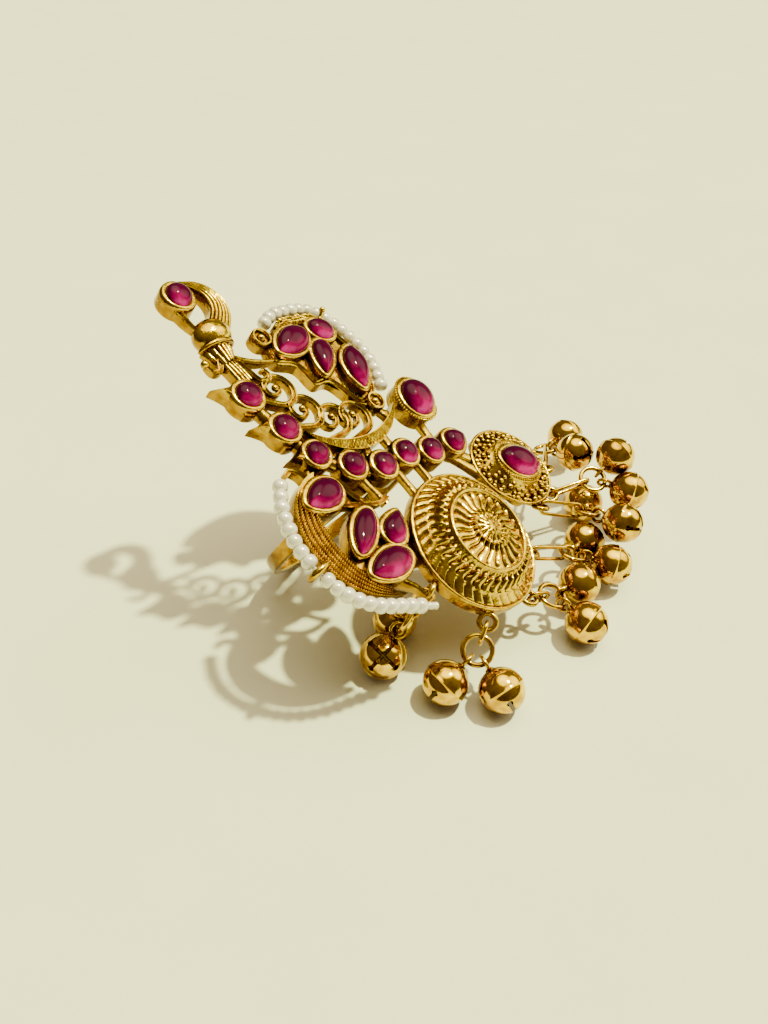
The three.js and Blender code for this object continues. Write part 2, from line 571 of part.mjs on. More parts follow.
// Assembly: the casting with its shank and eyelets is one soldered piece
const ring = new THREE.Group();
const hangings = CHAINS.map((chain) => ({ ...chain, ...hang(chain) }));
const eyelets = hangings.map(({ eyelet, ringAxis, along }) =>
  wireRing(EYELET.radius, EYELET.wire)
    .applyMatrix4(facing(along, ringAxis))
    .translate(eyelet.x, eyelet.y, eyelet.z));
const loop = shank().translate(0, 0, shankHeight);
const frame = joined([castPlate().applyMatrix4(platePlace), loop, ...eyelets]);
ring.add(mesh("ring_frame", geometryOf(frame), CAST_GOLD));

// Stones and pearls lie in the plate's frame
const plate = new THREE.Group();
plate.applyMatrix4(platePlace);
for (const stone of STONES) {
  const piece = mesh(`stone_${stone.name}`, geometryOf(solid(cabochon(stone))), RUBY);
  piece.position.set(stone.x, stone.y, 0);
  plate.add(piece);
}
for (const [name, string] of Object.entries(STRINGS)) {
  plate.add(mesh(`pearl_string_${name}`, pearlString(string), PEARL_WHITE));
}
ring.add(plate);

// Each chain: a long link, a jump ring and two bells
for (const { name, bells, ring: centre, ringAxis, along, linkAxis, linkSpan } of hangings) {
  const link = mesh(`link_${name}`, geometryOf(solid(longLink(linkSpan))), BRIGHT_GOLD);
  link.applyMatrix4(facing(along, linkAxis));
  link.position.copy(centre).addScaledVector(along, JUMP.radius + (linkSpan - LINK.past) / 2);
  ring.add(link);

  const jump = mesh(`jump_ring_${name}`, geometryOf(solid(wireRing(JUMP.radius, JUMP.wire))), BRIGHT_GOLD);
  jump.applyMatrix4(facing(bells[0].clone().sub(centre).normalize(), ringAxis));
  jump.position.copy(centre);
  ring.add(jump);

  bells.forEach((spot, i) => {
    const up = centre.clone().sub(spot).normalize();
    const piece = mesh(`bell_${name}_${i + 1}`, bell(), BRIGHT_GOLD);
    piece.applyMatrix4(facing(ringAxis.clone().cross(up), up));
    piece.position.copy(spot);
    ring.add(piece);
  });
}

// The origin is the middle of the box's underside
const box = new THREE.Box3().setFromObject(ring, true);
const middle = box.getCenter(new THREE.Vector3());
ring.position.set(-middle.x, -middle.y, -box.min.z);
ring.updateMatrixWorld(true);

export default ring;
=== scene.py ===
import json
from math import acos, atan2, cos, pi, radians, sin, sqrt, tau
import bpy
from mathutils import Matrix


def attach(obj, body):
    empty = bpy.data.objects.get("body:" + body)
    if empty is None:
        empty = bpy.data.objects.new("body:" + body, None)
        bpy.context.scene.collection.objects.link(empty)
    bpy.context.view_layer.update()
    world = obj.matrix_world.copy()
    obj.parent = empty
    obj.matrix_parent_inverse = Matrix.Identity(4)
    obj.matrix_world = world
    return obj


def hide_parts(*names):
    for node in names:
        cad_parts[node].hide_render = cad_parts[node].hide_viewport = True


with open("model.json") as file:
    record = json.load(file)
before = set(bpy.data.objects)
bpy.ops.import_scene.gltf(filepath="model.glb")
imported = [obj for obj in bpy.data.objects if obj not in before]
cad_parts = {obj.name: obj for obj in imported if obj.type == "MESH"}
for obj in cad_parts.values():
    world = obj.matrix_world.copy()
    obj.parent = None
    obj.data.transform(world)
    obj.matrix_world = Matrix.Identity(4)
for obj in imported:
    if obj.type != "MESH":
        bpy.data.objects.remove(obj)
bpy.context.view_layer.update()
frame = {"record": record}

from types import SimpleNamespace as Row

import bmesh
import bpy
import numpy as np
from mathutils import Matrix, Vector
from numpy.linalg import norm

# Driving dimensions, in millimetres, as in the part; steps, sides and rings say how finely a form is cut
SHANK = Row(radius=9.5, thick=0.9, width=1.7, sides=36, sunk=0.4, round=0.22, steps=120, corner_steps=5)
PITCH = radians(32.7)
ROLL = radians(11.1)
SEAT = 1.0
RIM = 2.0
STONE = Row(gap=0.25, wall=0.3, dome=0.33, back=0.93, bevel=0.1, girdle=0.2, fullness=0.85, top=0.06,
            sides=72, rings=14)
MILLING = Row(stones=("crest", "flower"), spacing=0.34, grain=0.15, out=0.05, below=0.28)
MEDALLION = Row(x=3.4, y=-11.5, radius=8.1, fullness=0.38, fade=0.25, steps=660)
FLOWER = Row(x=17.4, y=-7.6, long=6.0, short=5.0, turn=-38, lobes=12, dip=0.3, cut=1.6, steps=240,
             seed=3, stray=0.7, sizes=(0.65, 1.3))
FLOWER_WIRE = Row(grow=-0.1, height=1.1, radius=0.2)
PEARL = Row(radius=0.76, pitch=1.16, clear=1.05, length=0.62, fullness=0.55, end=0.2, sides=20, rings=16,
            seed=7, uneven=0.05, tilt=0.1)
THREAD = Row(radius=0.16, steps=120)
BELL = Row(radius=2.4, wall=0.3, petals=4, top=2, mouth=174, upper_rings=40, lower_rings=26, steps=18)
WELD = 1e-4
SEAM = Row(polar=93, before=1, after=2, drop=0.035, roll=0.02, above=2, half=2.4)
SLIT = Row(polar=118, opens=5, half=0.21, hole=0.16, hole_at=8, hole_half=5, widest=0.7)
LOOP = Row(radius=0.78, wire=0.2, reach=3.15)
SOLDER = Row(radius=0.5, squash=0.4)
EYELET = Row(radius=0.85, wire=0.28, stand=0.75, flower_stand=0.5, height=0.6)
JUMP = Row(radius=1.5, wire=0.28)
LINK = Row(half_width=0.78, wire=0.22, past=0.8, steps=64)
SCROLL = Row(turns=1.45, curl=0.62, eye=0.34, shift=(-0.08, 0.24), settles=(0.38, 0.8), closes=(0.75, 1),
             points=40, wire=0.33, height=1.25, thick=1.15, thin=0.7, steps=110, knob=0.4, lift=0.1)
STRUT = Row(low=0.0, high=1.2, waist=0.22, boxy=0.6, sides=24, steps=16)
FLUTE_FULLNESS = 0.45
MM = 0.001
UP = np.array([0.0, 0.0, 1.0])
FINGER = np.array([0.0, 1.0, 0.0])
TINY = 1e-9

# How finely balls of different sizes are cut
SMALL = {"across": 8, "down": 6}
LARGE = {"across": 16, "down": 10}
LARGEST = {"across": 36, "down": 22}


def table(columns, *rows):
    """Rows with named columns."""
    return [Row(**dict(zip(columns.split(), row))) for row in rows]


# Stones on the plate: x across the finger, y along it towards the head
STONES = table(
    "name x y turn length width tip tail rise",
    ("head", -8.45, 25.5, 0, 2.7, 2.7, 0, 0, 0),
    ("arc_1", -9.35, 13.1, 0, 2.8, 2.8, 0, 0, 0),
    ("arc_2", -8.15, 8.55, 0, 2.8, 2.8, 0, 0, 0),
    ("arc_3", -7.0, 4.75, 0, 2.6, 2.6, 0, 0, 0),
    ("arc_4", -3.95, 2.0, 0, 2.7, 2.7, 0, 0, 0),
    ("arc_5", -0.35, 0.4, 0, 2.7, 2.7, 0, 0, 0),
    ("arc_6", 3.5, 0.3, 0, 2.7, 2.7, 0, 0, 0),
    ("arc_7", 7.1, -0.9, 0, 2.7, 2.7, 0, 0, 0),
    ("arc_8", 11.25, -1.4, 0, 3.0, 2.7, 0.4, 0, 0),
    ("crest", 10.2, 4.9, 80, 4.6, 4.1, 0, 0, 0.4),
    ("flower", 17.2, -7.7, -38, 5.6, 3.8, 0.2, 0.2, 0.8),
    ("upper_1", 0.35, 16.8, 12, 5.0, 3.2, 0.2, 0.4, 0),
    ("upper_2", 5.1, 16.9, -35, 3.2, 2.5, 0, 0, 0),
    ("upper_3", 2.6, 13.8, 55, 4.6, 2.5, 0.1, 0.8, 0),
    ("upper_4", 5.85, 11.3, 68, 5.5, 3.0, 0.5, 0.8, 0),
    ("lower_1", -9.75, 0.9, 0, 4.6, 3.1, 0, 0.4, 0),
    ("lower_2", -8.5, -4.2, 36, 5.5, 2.5, 0.1, 0.3, 0),
    ("lower_3", -4.9, -5.5, 38, 3.9, 2.6, 0.9, 0.1, 0),
    ("lower_4", -8.3, -8.2, -6, 5.6, 3.0, 0.15, 0.4, 0),
)
# A bezel's section: wall is 1 on its outer face and 0 on its inner one, and over counts from a level
BEZEL = table(
    "wall out level over",
    (1, -0.08, "plate", 0.0),
    (1, 0.0, "plate", 0.1),
    (1, 0.0, "rim", -0.42),
    (1, -0.05, "rim", -0.2),
    (1, -0.14, "rim", -0.02),
    (1, -0.26, "rim", 0.06),
    (0, 0.08, "rim", 0.07),
    (0, 0.0, "rim", 0.02),
    (0, 0.0, "rim", -0.16),
    (0, 0.1, "seat", 0.0),
)

# Flames: their places, the outline's start and sides, and the chamfered section
FLAMES = table(
    "x y turn size",
    (-9.35, 13.1, 0, 1.0),
    (-8.15, 8.55, 11, 1.0),
    (-7.0, 4.75, 22, 0.9),
)
FLAME_START = (-3.0, 2.2)
FLAME_SIDES = table(
    "end pull",
    ((1.0, 2.0), (-0.6, 1.7)),
    ((1.0, -1.7), (2.4, 0.2)),
    ((-1.5, -1.5), (-0.4, -2.4)),
    ((-3.0, 2.2), (-1.5, 0.5)),
)
FLAME_SECTION = table(
    "share height",
    (0.98, 0.1), (1, 0.2), (1, 1.1), (0.97, 1.28), (0.86, 1.62), (0.76, 1.9), (0.7, 1.97),
)

# The head: fluted strips between two edges, the cap and the band over it
PLUME = Row(
    left=[(-7.2, 26.5), (-6.5, 26.1), (-5.8, 25.2), (-5.65, 24.2), (-6.0, 23.2), (-7.2, 22.0)],
    right=[(-7.6, 27.1), (-5.5, 26.6), (-4.3, 25.6), (-3.7, 24.2), (-3.8, 22.8), (-4.4, 21.6), (-6.0, 19.9)],
    flutes=6, low=0.2, high=1.85, crown=0.3, groove=0.24, steps=60, fine=12,
)
COLLAR = Row(
    left=[(-9.9, 19.4), (-9.7, 18.5), (-9.3, 17.1)],
    right=[(-5.9, 19.1), (-6.3, 18.3), (-7.1, 17.3)],
    flutes=7, low=0.2, high=0.8, crown=1.25, groove=0.28, steps=24, fine=10,
)
NECK = Row(
    left=[(-9.1, 17.6), (-8.9, 16.2), (-8.8, 14.5)],
    right=[(-7.6, 17.6), (-7.2, 16.2), (-7.0, 14.8)],
    flutes=4, low=0.2, high=1.45, crown=0.15, groove=0.4, steps=24, fine=10,
)
HEAD_CAP = Row(spot=(-7.6, 20.6, 1.0), half=(2.2, 1.85, 1.75))
HEAD_BAND = Row(start=(-9.9, 19.5), end=(-6.0, 19.2), low=0.7, rise=1.5, radius=0.26, points=25, sides=12)
HOOK_TIP = Row(spot=(-10.7, 18.0, 1.1), radius=0.46)

# Openwork: scrolls in the moon, doubled rods and plain struts
SCROLLS = table(
    "foot x y radius",
    ((-7.9, 12.2), -5.3, 12.5, 1.75),
    ((-6.6, 8.3), -4.1, 9.3, 1.8),
    ((-4.2, 5.4), -1.5, 7.2, 1.75),
    ((-1.5, 4.2), 1.2, 6.4, 1.8),
)
RODS = table(
    "part radius height route",
    ("head", 0.36, 1.0, [(-8.9, 17.8), (-9.6, 16.9), (-10.4, 17.0), (-10.7, 17.9)]),
    ("head", 0.36, 1.3, [(-7.7, 17.6), (-6.0, 16.5), (-4.4, 15.9), (-2.6, 15.4)]),
    ("head", 0.34, 1.3, [(-7.4, 17.4), (-6.9, 15.6), (-6.4, 14.3), (-5.6, 13.9), (-5.0, 14.4), (-5.1, 15.1),
                         (-5.6, 15.1)]),
    ("head", 0.42, 1.25, [(-9.5, 24.2), (-9.3, 22.6), (-8.9, 21.0)]),
    ("lower", 0.42, 1.3, [(-9.9, 2.6), (-10.1, 3.8), (-10.9, 4.6), (-11.7, 4.4)]),
    ("lower", 0.4, 1.1, [(-6.8, 1.6), (-6.2, -0.4), (-5.2, -2.0), (-3.6, -2.6), (-2.2, -2.4)]),
    ("lower", 0.36, 1.1, [(-8.2, -0.7), (-6.6, -1.5), (-5.0, -2.1)]),
    ("lower", 0.4, 1.0, [(-8.6, -9.4), (-7.6, -10.6), (-6.9, -11.6), (-6.6, -12.6)]),
)
STRUTS = table(
    "start end width",
    ((-8.7, 3.8), (-9.2, 2.2), 1.2),
    ((-3.3, 0.6), (-2.6, -3.0), 0.9),
    ((1.6, -0.6), (1.8, -4.4), 1.1),
    ((4.9, -0.4), (5.0, -4.4), 1.1),
    ((9.2, -1.0), (12.4, -6.2), 1.3),
    ((9.6, 3.2), (9.3, -1.0), 1.4),
    ((11.4, -2.6), (13.4, -5.0), 1.5),
    ((-5.9, -9.2), (-3.6, -9.6), 1.6),
    ((4.6, 7.4), (6.0, 5.1), 1.2),
    ((-3.8, 2.8), (-3.2, 4.2), 1.6),
    ((-0.3, 1.6), (0.0, 3.3), 1.6),
    ((3.4, 1.6), (3.2, 3.6), 1.4),
)
BAND = Row(radius=0.8, height=0.85, first=3, last=8, run=[(-9.2, 12.0), (-8.2, 9.0), (-7.2, 5.0)],
           steps=60, sides=16)
MOON = Row(x=0.7, y=10.4, turn=83.5, outer=7.75, inner=10.24, shift=3.89, low=0.3, high=1.78,
           lines=72, slant=2.5, hatch=0.1, edge=0.16, edge_span=(0.16, 0.04), steps=620, across=21)

# The wings: the pearls' lines, the webs and their edges, and what sits on them
STRINGS = {
    "upper": Row(height=1.3, route=[
        (-1.2, 19.8), (0.9, 20.6), (3.5, 20.5), (6.0, 19.8), (7.8, 17.8), (8.8, 15.2), (9.2, 12.7),
        (8.7, 10.2), (7.6, 7.9),
    ]),
    "lower": Row(height=1.5, route=[
        (-12.7, 4.2), (-14.6, 1.7), (-15.75, -1.4), (-15.75, -4.6), (-14.75, -8.0), (-12.8, -10.4),
        (-10.4, -11.9), (-7.9, -13.4),
    ]),
}
STRING_STEPS = 400
CLIP = Row(spot=(-15.64, -5.24), radius=1.0, wire=0.34)
KNOT = Row(radius=0.34, length=1.4, swell=0.2, twist=1.9, steps=12)
UPPER_WEB = [(-2.6, 18.2), (-3.2, 15.4), (-1.0, 14.0), (-0.4, 11.4), (1.5, 11.0), (3.2, 7.4), (5.0, 6.6)]
UPPER_STEPS = Row(web=60, edge=40, outline=200)
UPPER_SECTION = table(
    "out height",
    (-0.1, 0), (0, 0.1), (0, 1.3), (-0.05, 1.46), (-0.16, 1.55), (-0.28, 1.46), (-0.34, 1.3),
    (-0.4, 1.46), (-0.52, 1.55), (-0.64, 1.46), (-0.72, 1.15),
)
LIPS = Row(spots=[(-2.8, 18.4), (5.0, 6.9)], radius=1.15, high=2.0, dome=0.5, sunk=0.42, sides=28)
LIP_SECTION = table(
    "out level over",
    (-0.1, "plate", 0.2), (0, "plate", 0.3), (0, "top", -0.15), (-0.1, "top", 0), (-0.25, "top", 0),
    (-0.35, "top", -0.1), (-0.42, "top", -0.45),
)
PEG = Row(foot=(6.5, 18.2, 1.3), top=(7.1, 18.85, 2.2), radius=0.27, knob=0.36, steps=6)
STRIP = Row(
    section=[(-0.6, -0.6), (0.6, -0.6), (0.6, 0.3), (0.45, 0.45), (-0.45, 0.45), (-0.6, 0.3)],
    depth=1.5, rows=(1.1, 1.42, 1.75), top=1.75, grain=0.2, steps=120, first=4, last=64, every=2,
    seed=5, aside=0.1, sizes=(0.7, 1.3),
)
LOWER_WEB = [(-11.6, -6.4), (-10.4, -9.2), (-6.2, -9.6), (-4.0, -7.2), (-4.6, -4.6), (-8.4, -3.4)]
LOWER_STEPS = 90
LOWER_SECTION = table("out height", (-0.1, 0), (0, 0.1), (0, 1.1), (-0.12, 1.25))
FEATHERS = Row(x=-7.05, y=-4.0, turn=0, outer=7.55, inner=10.0, shift=5.05, low=0.0, high=1.75,
               ridges=5, groove=0.36, fullness=0.6, beads=66, bead=0.16, carved=(0.06, 0.16), clear=0.92,
               steps=528, fine=12)

# The medallion: its face without relief, its hollow back, and how closely it is cut from rim to middle
MEDALLION_BASE = table(
    "radius height",
    (0, 4.9), (0.5, 4.85), (0.9, 4.7), (1.6, 4.45), (3.0, 4.2), (4.4, 4.0), (4.9, 3.95), (5.3, 3.7),
    (6.2, 3.05), (7.0, 2.4), (7.6, 2.0), (7.75, 1.65), (8.1, 1.65),
)
MEDALLION_BACK = table("radius height", (0.05, 3.1), (4.0, 1.9), (7.2, 0.4), (8.0, 0.4), (8.1, 0.5))
MEDALLION_CUTS = table("start end rings", (8.1, 7.5, 12), (7.45, 0.06, 92))
# Rings of ridges on it: how many, how they lean and wave, where they start and end, and their depth
MEDALLION_RINGS = table(
    "count lean wave low high depth",
    (38, 0.1, 0.0, 6.6, 7.8, 0.42),
    (38, 0.0, 0.05, 4.95, 6.7, 0.5),
    (22, 0.0, 0.05, 1.75, 4.5, 0.45),
    (13, 0.0, 0.0, 0.8, 1.75, 0.3),
    (7, 0.0, 0.0, 0.25, 0.8, 0.25),
)
# Raised circles on it: plain wires and rows of knobs
MEDALLION_WIRES = table("radius half high", (4.72, 0.27, 0.4), (7.9, 0.22, 0.3))
MEDALLION_KNOBS = table("radius half high count", (5.7, 0.36, 0.36, 38), (2.0, 0.3, 0.32, 22))

# The flower: its rim, its cone and its rows of grains from the rim inwards
FLOWER_RIM = table("out height", (-0.1, 0.2), (0, 0.3), (0, 1.05), (-0.1, 1.2), (-0.3, 1.2), (-0.45, 1.05))
FLOWER_CONE = table(
    "share height",
    (0.93, 0.3), (0.9, 0.9), (0.75, 1.5), (0.62, 2.1), (0.58, 2.45), (0.55, 2.5),
)
FLOWER_GRAINS = table(
    "count grow height size",
    (30, -0.5, 1.2, 0.34),
    (27, -0.95, 1.35, 0.32),
    (25, -1.4, 1.62, 0.3),
    (22, -1.85, 1.95, 0.27),
)

# Hangings: the rim and angle of the eyelet, and the two bells' centres over the table
CHAINS = table(
    "name rim angle bells",
    ("left", "medallion", 187, [(-7.6, -13.9, 2.4), (-3.1, -11.5, 2.4)]),
    ("front", "medallion", 235, [(-6.0, -20.9, 2.4), (-2.9, -25.7, 2.4)]),
    ("corner", "medallion", 285, [(10.5, -27.1, 2.4), (14.6, -23.5, 3.0)]),
    ("right", "medallion", 325, [(19.6, -24.6, 3.0), (21.6, -19.8, 2.4)]),
    ("petal_1", "flower", 305, [(24.2, -22.9, 5.4), (27.3, -16.0, 2.6)]),
    ("petal_2", "flower", 335, [(29.7, -20.5, 5.6), (32.0, -16.8, 7.8)]),
    ("petal_3", "flower", 15, [(30.8, -11.9, 6.6), (35.6, -7.7, 4.4)]),
)
# Bells whose slits face another way than straight from the loop
SLIT_BELOW = (0, 0, -1)
SLIT_TO_VIEWER = {"left_1": (-0.468, -0.431, 0.772)}

# The shank's centre comes from the finger seat, and the plate sits on the shank
mount = frame["record"]["mounts"][0]
inner_flat = (SHANK.radius - SHANK.thick) * cos(pi / SHANK.sides)
shank_centre = Vector(mount["pos_m"]) + Vector(mount["axis"]) * inner_flat * MM
lean = Matrix.Rotation(PITCH, 4, "X") @ Matrix.Rotation(ROLL, 4, "Y")
plate_spot = shank_centre + lean @ Vector((0, 0, (SHANK.radius - SHANK.sunk) * MM))
TO_METRES = Matrix.Scale(MM, 4)
PLATE_PLACE = Matrix.Translation(plate_spot) @ lean @ TO_METRES
TABLE_PLACE = Matrix.Translation((shank_centre.x, shank_centre.y, 0)) @ TO_METRES
SHANK_PLACE = Matrix.Translation(shank_centre) @ Matrix.Rotation(PITCH, 4, "X") @ TO_METRES
PLATE_ON_TABLE = np.array(TABLE_PLACE.inverted() @ PLATE_PLACE)
PLATE_UP = lean @ Vector((0, 0, 1))


# Lines and outlines
def unit(vectors):
    """Vectors made one long."""
    vectors = np.asarray(vectors, float)
    return vectors / np.maximum(norm(vectors, axis=-1, keepdims=True), TINY)


def smooth(low, high, value):
    """A soft step from 0 to 1."""
    share = np.clip((value - low) / (high - low), 0, 1)
    return share * share * (3 - 2 * share)


def flat(points, height):
    """Plate points lifted to a height."""
    points = np.asarray(points, float)
    return np.column_stack([points, np.full(len(points), height)])


def blend(a, b, start, end, at):
    """The line from a at start to b at end, read at places."""
    return ((end - at) * a + (at - start) * b) / (end - start)


def curve(points, steps, fine=24):
    """Even steps along a smooth line through the points."""
    points = np.asarray(points, float)
    padded = np.vstack([2 * points[0] - points[1], points, 2 * points[-1] - points[-2]])
    gaps = np.sqrt(norm(np.diff(padded, axis=0), axis=1))
    knots = np.concatenate([[0], np.cumsum(gaps)])
    spans = []
    for i in range(1, len(points)):
        at = np.linspace(knots[i], knots[i + 1], fine)[:, None]
        near = [blend(padded[k], padded[k + 1], knots[k], knots[k + 1], at) for k in range(i - 1, i + 2)]
        wide = [blend(near[k], near[k + 1], knots[i - 1 + k], knots[i + 1 + k], at) for k in range(2)]
        spans.append(blend(wide[0], wide[1], knots[i], knots[i + 1], at))
    return even(np.vstack(spans), steps)


def even(line, steps):
    """A line resampled at even steps."""
    run = np.concatenate([[0], np.cumsum(norm(np.diff(line, axis=0), axis=1))])
    at = np.linspace(0, run[-1], steps + 1)
    return np.column_stack([np.interp(at, run, column) for column in line.T])


def even_loop(outline, steps):
    """A closed outline resampled at even steps."""
    return even(np.vstack([outline, outline[:1]]), steps)[:-1]


def left_of(path):
    """The directions to the left of a flat line."""
    ahead = unit(np.gradient(path, axis=0))
    return np.column_stack([-ahead[:, 1], ahead[:, 0]])


def traced(start, sides, steps=14):
    """A closed outline of sides pulled towards a point."""
    spots = [np.array(start, float)]
    t = np.linspace(0, 1, steps + 1)[1:, None]
    for side in sides:
        a, b, c = spots[-1], np.array(side.pull), np.array(side.end)
        spots.extend((1 - t) ** 2 * a + 2 * t * (1 - t) * b + t * t * c)
    return counter_clockwise(np.array(spots[:-1]))


def counter_clockwise(outline):
    """An outline that runs counter-clockwise."""
    x, y = outline.T
    area = np.sum(x * np.roll(y, -1) - y * np.roll(x, -1))
    return outline if area > 0 else outline[::-1]


def grown(outline, distance):
    """A closed outline moved outwards by a distance."""
    ahead = unit(np.roll(outline, -1, 0) - np.roll(outline, 1, 0))
    return outline + distance * np.column_stack([ahead[:, 1], -ahead[:, 0]])


def turned(outline, x, y, turn, size=1.0):
    """An outline turned by degrees and put in its place."""
    c, s = cos(radians(turn)), sin(radians(turn))
    return size * outline @ np.array([[c, s], [-s, c]]) + (x, y)


def full_turn(count):
    """Even angles round a circle."""
    return np.linspace(0, 2 * pi, count, endpoint=False)


def ring_of(radius, count, start=0.0):
    """Points on a circle."""
    angles = start + full_turn(count)
    return radius * np.column_stack([np.cos(angles), np.sin(angles)])


# Shells: closed skins of points and faces
def skin(rings, looped=False):
    """A closed shell over rings of points, with flat ends unless it is looped."""
    rings = np.asarray(rings, float)
    count, around = rings.shape[:2]
    index = np.arange(count * around).reshape(count, around)
    low = index if looped else index[:-1]
    high = np.roll(index, -1, 0) if looped else index[1:]
    quads = np.stack([low, np.roll(low, -1, 1), np.roll(high, -1, 1), high], -1)
    faces = quads.reshape(-1, 4).tolist()
    if not looped:
        faces += [index[0][::-1].tolist(), index[-1].tolist()]
    return rings.reshape(-1, 3), faces


def moved(shell, matrix):
    """A shell carried by a matrix."""
    matrix = np.asarray(matrix)
    return shell[0] @ matrix[:3, :3].T + matrix[:3, 3], shell[1]


def facing(x_axis, z_axis, spot):
    """A place with its x and z axes along two directions."""
    matrix = np.identity(4)
    matrix[:3, :3] = np.column_stack([x_axis, np.cross(z_axis, x_axis), z_axis])
    matrix[:3, 3] = spot
    return matrix


def stack(outline, section):
    """An outline moved out by each row of a section."""
    return skin([flat(grown(outline, row.out), row.height) for row in section])


def taper(outline, middle, section):
    """An outline scaled about its middle by each row of a section."""
    middle = np.array(middle)
    return skin([flat(middle + row.share * (outline - middle), row.height) for row in section])


def sweep(path, section, scale=1.0, up=UP, looped=False):
    """A section of (side, over) points carried along a path."""
    path = np.asarray(path, float)
    ahead = np.roll(path, -1, 0) - np.roll(path, 1, 0) if looped else np.gradient(path, axis=0)
    ahead = unit(ahead)
    side = unit(np.cross(up, ahead))
    over = np.cross(ahead, side)
    scale = np.broadcast_to(np.asarray(scale, float), len(path))[:, None, None]
    rings = section[None, :, :1] * side[:, None] + section[None, :, 1:] * over[:, None]
    return skin(path[:, None] + scale * rings, looped)


def tube(path, radius, sides=12, scale=1.0, looped=False):
    """A round tube along a path."""
    return sweep(path, ring_of(radius, sides), scale, looped=looped)


def torus(radius, wire, around=56):
    """A wire ring about the z axis."""
    return tube(flat(ring_of(radius, around), 0), wire, looped=True)


def ball(spot, radius, squash=1.0, across=12, down=8, end=0.15):
    """A small round grain."""
    polar = np.linspace(pi - end, end, down)
    circle = ring_of(radius, across)
    rings = [flat(circle * sin(p), squash * radius * cos(p)) for p in polar]
    return skin(np.array(rings) + np.asarray(spot, float))


# Two ridges with a groove between them: side and over, in shares of the radius
TWIN = np.array([
    (-0.95, -2.0), (0.95, -2.0), (1.0, 0.45), (0.9, 0.75), (0.66, 0.9), (0.4, 0.75), (0.2, 0.35), (0, 0.2),
    (-0.2, 0.35), (-0.4, 0.75), (-0.66, 0.9), (-0.9, 0.75), (-1.0, 0.45),
])


def twin_rod(route, radius, height, steps=40, start=1.0, end=0.6):
    """A double-ridged rod that thins towards its end."""
    share = np.linspace(0, 1, steps + 1)
    return sweep(flat(curve(route, steps), height), radius * TWIN, start + (end - start) * share**2)


def rods(part):
    """The rods of one part of the plate."""
    return [twin_rod(rod.route, rod.radius, rod.height) for rod in RODS if rod.part == part]


def strut(row):
    """A rounded bar with a slight waist."""
    half = (STRUT.high - STRUT.low) / 2
    circle = ring_of(1.0, STRUT.sides)
    section = np.sign(circle) * np.abs(circle) ** STRUT.boxy * (row.width / 2, half)
    share = np.linspace(0, 1, STRUT.steps + 1)
    path = flat(np.outer(1 - share, row.start) + np.outer(share, row.end), STRUT.low + half)
    return sweep(path, section, 1 - STRUT.waist * np.sin(pi * share))


def ribbon(first, second, low, top, across):
    """A flat-backed strip between two edges whose face follows top(along, over)."""
    along = np.linspace(0, 1, len(first))[:, None]
    over = np.linspace(0, 1, across)[None, :]
    spots = first[:, None] + over[..., None] * (second - first)[:, None]
    heights = top(along, over) + np.zeros((len(first), across))
    face = np.concatenate([spots, heights[..., None]], -1)
    back = np.stack([flat(second, low), flat(first, low)], 1)
    return skin(np.concatenate([face, back], 1))


def fluted(left, right, flutes, low, high, crown, groove, steps, fine):
    """A crowned strip with narrow grooves between broad flutes."""
    def top(along, over):
        flute = np.abs(np.sin(pi * flutes * over)) ** FLUTE_FULLNESS
        return high + (crown * np.sin(pi * over) + groove * (flute - 1))

    return ribbon(curve(left, steps), curve(right, steps), low, top, fine * flutes + 1)


# Stones and their settings
def stone_outline(stone):
    """An oval whose ends are drawn to a point by tip and tail."""
    t = full_turn(STONE.sides)
    swell = np.sin(t) * np.abs(np.sin(t / 2)) ** stone.tip * np.abs(np.cos(t / 2)) ** stone.tail
    oval = np.column_stack([stone.length / 2 * np.cos(t), stone.width / 2 * swell / swell.max()])
    return turned(even_loop(oval, STONE.sides), stone.x, stone.y, stone.turn)


def cabochon(stone):
    """A smooth domed stone with a flat back."""
    rim = RIM + stone.rise
    back = SEAT + stone.rise + STONE.gap
    high = STONE.dome * stone.width
    polar = np.linspace(0, pi / 2 - STONE.top, STONE.rings)
    dome = [(cos(p) ** STONE.fullness, rim + high * sin(p)) for p in polar]
    foot = [(STONE.back, back), (1.0, back + STONE.bevel), (1.0, rim - STONE.girdle)]
    return taper(stone_outline(stone), (stone.x, stone.y), table("share height", *foot, *dome))


def setting(stone):
    """A bezel with a rolled lip, open down to the stone's seat."""
    outer = STONE.gap + STONE.wall
    levels = {"plate": 0.0, "rim": RIM + stone.rise, "seat": SEAT + stone.rise}
    section = [Row(out=outer * row.wall + row.out, height=levels[row.level] + row.over) for row in BEZEL]
    return stack(stone_outline(stone), section)


def milled(stone):
    """A row of fine grains on a setting's lip."""
    line = grown(stone_outline(stone), STONE.gap + STONE.wall + MILLING.out)
    height = RIM + stone.rise - MILLING.below
    length = norm(np.diff(np.vstack([line, line[:1]]), axis=0), axis=1).sum()
    spots = even_loop(line, int(length / MILLING.spacing))
    return [ball((x, y, height), MILLING.grain, **SMALL) for x, y in spots]


def setting_shells():
    """All bezels, and the milled lips of the largest two."""
    shells = [setting(stone) for stone in STONES]
    for stone in STONES:
        if stone.name in MILLING.stones:
            shells += milled(stone)
    return shells


# The head
def cap():
    """The smooth cap under the plume."""
    points, faces = ball((0, 0, 0), 1.0, **LARGEST)
    return points * HEAD_CAP.half + HEAD_CAP.spot, faces


def head_band():
    """A round band over the head between cap and collar."""
    start, end = np.array(HEAD_BAND.start), np.array(HEAD_BAND.end)
    turn = np.linspace(0, pi, HEAD_BAND.points)[:, None]
    spots = (start + end) / 2 + (start - end) / 2 * np.cos(turn)
    path = np.column_stack([spots, HEAD_BAND.low + HEAD_BAND.rise * np.sin(turn)])
    return sweep(path, ring_of(HEAD_BAND.radius, HEAD_BAND.sides), up=FINGER)


